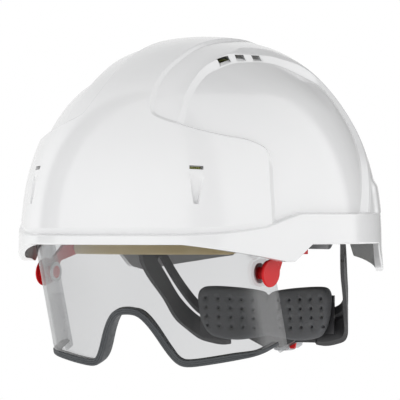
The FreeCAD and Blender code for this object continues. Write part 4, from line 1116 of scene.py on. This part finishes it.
def build_nape_pad():
    """The soft pad at the nape: crowned foam, punched with rows of small blind holes."""
    outline = foam_outline()
    rows = [(outline, True)]
    for inset in (0.5, 1.2, 2.2, 3.4):
        tangent = np.roll(outline, -1, 0) - np.roll(outline, 1, 0)
        normal = np.stack([-tangent[:, 1], tangent[:, 0]], 1)
        normal /= np.linalg.norm(normal, axis=1)[:, None]
        inner = outline + normal * inset
        kept = np.array([point_gap(p, outline) > inset * 0.93 for p in inner])
        if not inside_loop(outline, inner[:1])[0]:
            inner = outline - normal * inset
            kept = np.array([point_gap(p, outline) > inset * 0.93 for p in inner])
        rows.append((inner[kept], False))
    holes = []
    for side in (-1, 1):
        for column in range(5):
            for line in range(4):
                holes.append((side * (9.5 + 8.4 * column) + 0.4 * line, -37.5 - 6.0 * line + 0.35 * column))
    turns = np.linspace(0, 2 * math.pi, 12, endpoint=False)
    for x, z in holes:
        for radius in (0.55, 0.85, 1.2):
            rows.append((np.stack([x + radius * np.cos(turns), z + radius * np.sin(turns)], 1), True))
    plan, triangles = triangulate(rows, lambda middle: inside_loop(outline, middle), 3.0, 0.9,
                                  (-52, -66, 52, -26))
    edge = np.array([point_gap(p, outline) for p in plan])
    edge[edge < 1e-3] = 0
    hole_gap = np.min([np.hypot(plan[:, 0] - x, plan[:, 1] - z) for x, z in holes], axis=0)
    front_centre, front_radius = circle_through(FOAM_END[0], FOAM_END[1], FOAM_MIDDLE[0])
    back_centre, back_radius = circle_through(FOAM_END[0], FOAM_END[2], FOAM_MIDDLE[1])
    front_y = front_centre + np.sqrt(front_radius ** 2 - plan[:, 0] ** 2)
    back_y = back_centre + np.sqrt(back_radius ** 2 - plan[:, 0] ** 2)
    rounding = 3.2
    lift = rounding - np.sqrt(rounding ** 2 - (rounding - np.clip(edge, 0, rounding)) ** 2)
    pillow = 0.35 * np.sin(plan[:, 0] * 0.35) * np.cos(plan[:, 1] * 0.3)
    dimple = 2.6 * (1 - smooth_step(hole_gap, 0.5, 1.15))
    front = front_y + lift + dimple + 0.3 * pillow
    back = back_y - 0.35 * lift
    count = len(plan)
    points = [(x, y, z) for (x, z), y in zip(plan, front)] + [(x, y, z) for (x, z), y in zip(plan, back)]
    faces = [tuple(t) for t in triangles] + [tuple(int(k) + count for k in t[::-1]) for t in triangles]
    owned = {(int(a), int(b)) for t in triangles for a, b in ((t[0], t[1]), (t[1], t[2]), (t[2], t[0]))}
    faces += [(b, a, a + count, b + count) for a, b in owned if (b, a) not in owned]
    pad = new_piece("nape_foam_pad", points, faces, "root", "pad_foam", ["nape_pad"])
    clean_mesh(pad)
    fix_normals(pad)
    return pad


def point_gap(point, loop):
    """Distance of a flat point from a closed line."""
    start, end = loop, np.roll(loop, -1, axis=0)
    leg = end - start
    t = np.clip(((point - start) * leg).sum(1) / np.maximum((leg ** 2).sum(1), 1e-9), 0, 1)
    return float(np.linalg.norm(start + leg * t[:, None] - point, axis=1).min())


TAPE_HALF_WIDTH = 10.0
TAPE_WALL = 1.2


def build_tape(name, node, first, last, first_height, last_height, top):
    """A crown strap of woven tape, arched in its own upright plane as its CAD node is."""
    span = math.dist(first, last)
    heading = np.array([(last[0] - first[0]) / span, (last[1] - first[1]) / span, 0])
    a, b, c = np.array([0, first_height]), np.array([span / 2, top]), np.array([span, last_height])
    matrix = np.array([b - a, c - a]) * 2
    centre = np.linalg.solve(matrix, [(b ** 2 - a ** 2).sum(), (c ** 2 - a ** 2).sum()])
    radius = np.linalg.norm(a - centre)
    start_angle = math.atan2(*(a - centre)[::-1])
    end_angle = math.atan2(*(c - centre)[::-1])
    angles = np.linspace(start_angle, end_angle, 90)
    origin = np.array([first[0], first[1], 0.0])
    path, out = [], []
    for angle in angles:
        flat = centre + (radius - TAPE_WALL / 2) * np.array([math.cos(angle), math.sin(angle)])
        path.append(origin + heading * flat[0] + (0, 0, flat[1]))
        out.append(heading * math.cos(angle) + np.array([0, 0, math.sin(angle)]))
    sideways = np.cross([0, 0, 1.0], heading)
    half, wall = TAPE_HALF_WIDTH, TAPE_WALL / 2

    def section_at(index):
        pinch = 1 - 0.06 * math.exp(-min(index, len(angles) - 1 - index) / 5)
        w = half * pinch
        ripple = 0.12 * math.sin(index * 1.1)
        return [(-w + 0.3, wall), (-w, wall * 0.4), (-w, -wall * 0.4), (-w + 0.3, -wall),
                (-w + 1.6, -wall * 0.8),
                (0, -wall + ripple * 0.3), (w - 1.6, -wall * 0.8), (w - 0.3, -wall), (w, -wall * 0.4),
                (w, wall * 0.4), (w - 0.3, wall), (w - 1.6, wall * 0.8), (0, wall), (-w + 1.6, wall * 0.8)]

    points, faces = sweep(np.array(path), [sideways] * len(path), out, section_at)
    tape = new_piece(name, points, faces, "root", "webbing", [node])
    fix_normals(tape)
    return tape


FRONT_END = (74.6, -18.5)
SIDE_END = (82.8, 30.0)
REAR_END = (63.0, 89.0)


def build_tapes():
    build_tape("crown_tape_a", "front_left_strap", FRONT_END, (-REAR_END[0], REAR_END[1]), 63, 41, 118.6)
    build_tape("crown_tape_b", "front_right_strap", (-FRONT_END[0], FRONT_END[1]), REAR_END, 63, 41, 114.2)
    build_tape("crown_tape_c", "side_strap", SIDE_END, (-SIDE_END[0], SIDE_END[1]), 52, 52, 109.6)


# ---------------------------------------------------------------- studio

def area_light(name, at, target, size, power):
    data = bpy.data.lights.new(name, "AREA")
    data.shape = "RECTANGLE"
    data.size, data.size_y = size
    data.energy = power
    lamp = bpy.data.objects.new(name, data)
    lamp.location = at
    lamp.rotation_euler = (Vector(target) - Vector(at)).to_track_quat("-Z", "Y").to_euler()
    bpy.context.scene.collection.objects.link(lamp)
    return lamp


VIEW_AZIMUTH = math.radians(30.0)
VIEW_DISTANCE = 4.0
VIEW_WIDTH = 0.2564
VIEW_ACROSS = -0.00045
VIEW_HEIGHT = 0.0279
SENSOR = 36.0
FLOOR_DROP = 0.12
FLOOR_HALF = 2.4
# brightness of the soft surroundings by heading, in degrees from straight ahead towards +X
HEADINGS = [
    (-180, 0.35), (-163, 0.35), (-157, 0.85), (-125, 0.9), (-97, 1.2), (-91, 0.4), (-72, 0.4), (-66, 1.2),
    (46, 1.2), (52, 0.5), (68, 0.5), (74, 1.3), (154, 1.3), (162, 0.4), (180, 0.35),
]
CEILING_LEVEL = 0.58
FLOOR_GLOW = 0.3
KEY_AT = (-0.5, -1.6, 1.1)
KEY_TARGET = (0, 0, 0.03)
KEY_SIZE = (1.2, 1.2)
KEY_POWER = 2.5


def surroundings():
    """Soft studio light from all round: bright walls with two dim gaps and a dimmer ceiling."""
    world = bpy.data.worlds.new("studio")
    world.use_nodes = True
    tree = world.node_tree
    background = tree.nodes["Background"]
    place = tree.nodes.new("ShaderNodeTexCoord")
    split = tree.nodes.new("ShaderNodeSeparateXYZ")
    tree.links.new(place.outputs["Generated"], split.inputs["Vector"])
    ahead = tree.nodes.new("ShaderNodeMath")
    ahead.operation = "MULTIPLY"
    ahead.inputs[1].default_value = -1.0
    tree.links.new(split.outputs["Y"], ahead.inputs[0])
    heading = tree.nodes.new("ShaderNodeMath")
    heading.operation = "ARCTAN2"
    tree.links.new(split.outputs["X"], heading.inputs[0])
    tree.links.new(ahead.outputs["Value"], heading.inputs[1])
    share = tree.nodes.new("ShaderNodeMapRange")
    share.inputs["From Min"].default_value = -math.pi
    share.inputs["From Max"].default_value = math.pi
    tree.links.new(heading.outputs["Value"], share.inputs["Value"])
    ramp = tree.nodes.new("ShaderNodeValToRGB")
    ramp.color_ramp.interpolation = "EASE"
    stops = ramp.color_ramp.elements
    for degrees, _ in HEADINGS[1:-1]:
        stops.new((degrees + 180) / 360)
    for stop, (_, level) in zip(stops, HEADINGS):
        stop.color = (level, level, level, 1)
    tree.links.new(share.outputs["Result"], ramp.inputs["Fac"])
    height = tree.nodes.new("ShaderNodeMapRange")
    height.interpolation_type = "SMOOTHSTEP"
    for key, value in (("From Min", 0.25), ("From Max", 0.95), ("To Min", 1.0), ("To Max", CEILING_LEVEL)):
        height.inputs[key].default_value = value
    tree.links.new(split.outputs["Z"], height.inputs["Value"])
    scaled = tree.nodes.new("ShaderNodeVectorMath")
    scaled.operation = "SCALE"
    tree.links.new(ramp.outputs["Color"], scaled.inputs[0])
    tree.links.new(height.outputs["Result"], scaled.inputs["Scale"])
    seen = tree.nodes.new("ShaderNodeLightPath")
    shown = tree.nodes.new("ShaderNodeMix")
    shown.data_type = "RGBA"
    shown.inputs["B"].default_value = (1, 1, 1, 1)
    tree.links.new(seen.outputs["Is Camera Ray"], shown.inputs["Factor"])
    tree.links.new(scaled.outputs["Vector"], shown.inputs["A"])
    tree.links.new(shown.outputs["Result"], background.inputs["Color"])
    bpy.context.scene.world = world


def studio():
    surroundings()
    bpy.context.scene.view_settings.view_transform = "Standard"
    toward = Vector((math.sin(VIEW_AZIMUTH), -math.cos(VIEW_AZIMUTH), 0))
    right = Vector((math.cos(VIEW_AZIMUTH), math.sin(VIEW_AZIMUTH), 0))
    target = right * VIEW_ACROSS + Z_AXIS * VIEW_HEIGHT
    camera_data = bpy.data.cameras.new("view")
    camera_data.sensor_width = SENSOR
    camera_data.lens = SENSOR * VIEW_DISTANCE / VIEW_WIDTH
    camera_data.clip_end = 50
    camera = bpy.data.objects.new("view", camera_data)
    camera.location = target + toward * VIEW_DISTANCE
    camera.rotation_euler = (-toward).to_track_quat("-Z", "Y").to_euler()
    bpy.context.scene.collection.objects.link(camera)
    bpy.context.scene.camera = camera
    low, _ = cad_box
    floor_height = low.z - FLOOR_DROP
    half = FLOOR_HALF
    mesh = bpy.data.meshes.new("floor")
    mesh.from_pydata([(-half, -half, floor_height), (half, -half, floor_height),
                      (half, half, floor_height), (-half, half, floor_height)], [], [(0, 1, 2, 3)])
    floor = bpy.data.objects.new("floor", mesh)
    bpy.context.scene.collection.objects.link(floor)
    pale = Finish(
        "pale_floor", (0.92, 0.92, 0.92), 0.7, Emission_Color=(1, 1, 1, 1), Emission_Strength=FLOOR_GLOW)
    pale.bump(pale.noise(80, 3), 0.05)
    mesh.materials.append(pale.material)
    key = area_light("key", KEY_AT, KEY_TARGET, KEY_SIZE, KEY_POWER)
    key.visible_glossy = False


# ---------------------------------------------------------------- build

finish_cad_nodes()
build_shell()
build_lens()
build_seal()
build_headband()
build_sweatband()
build_nape_pad()
build_tapes()
studio()
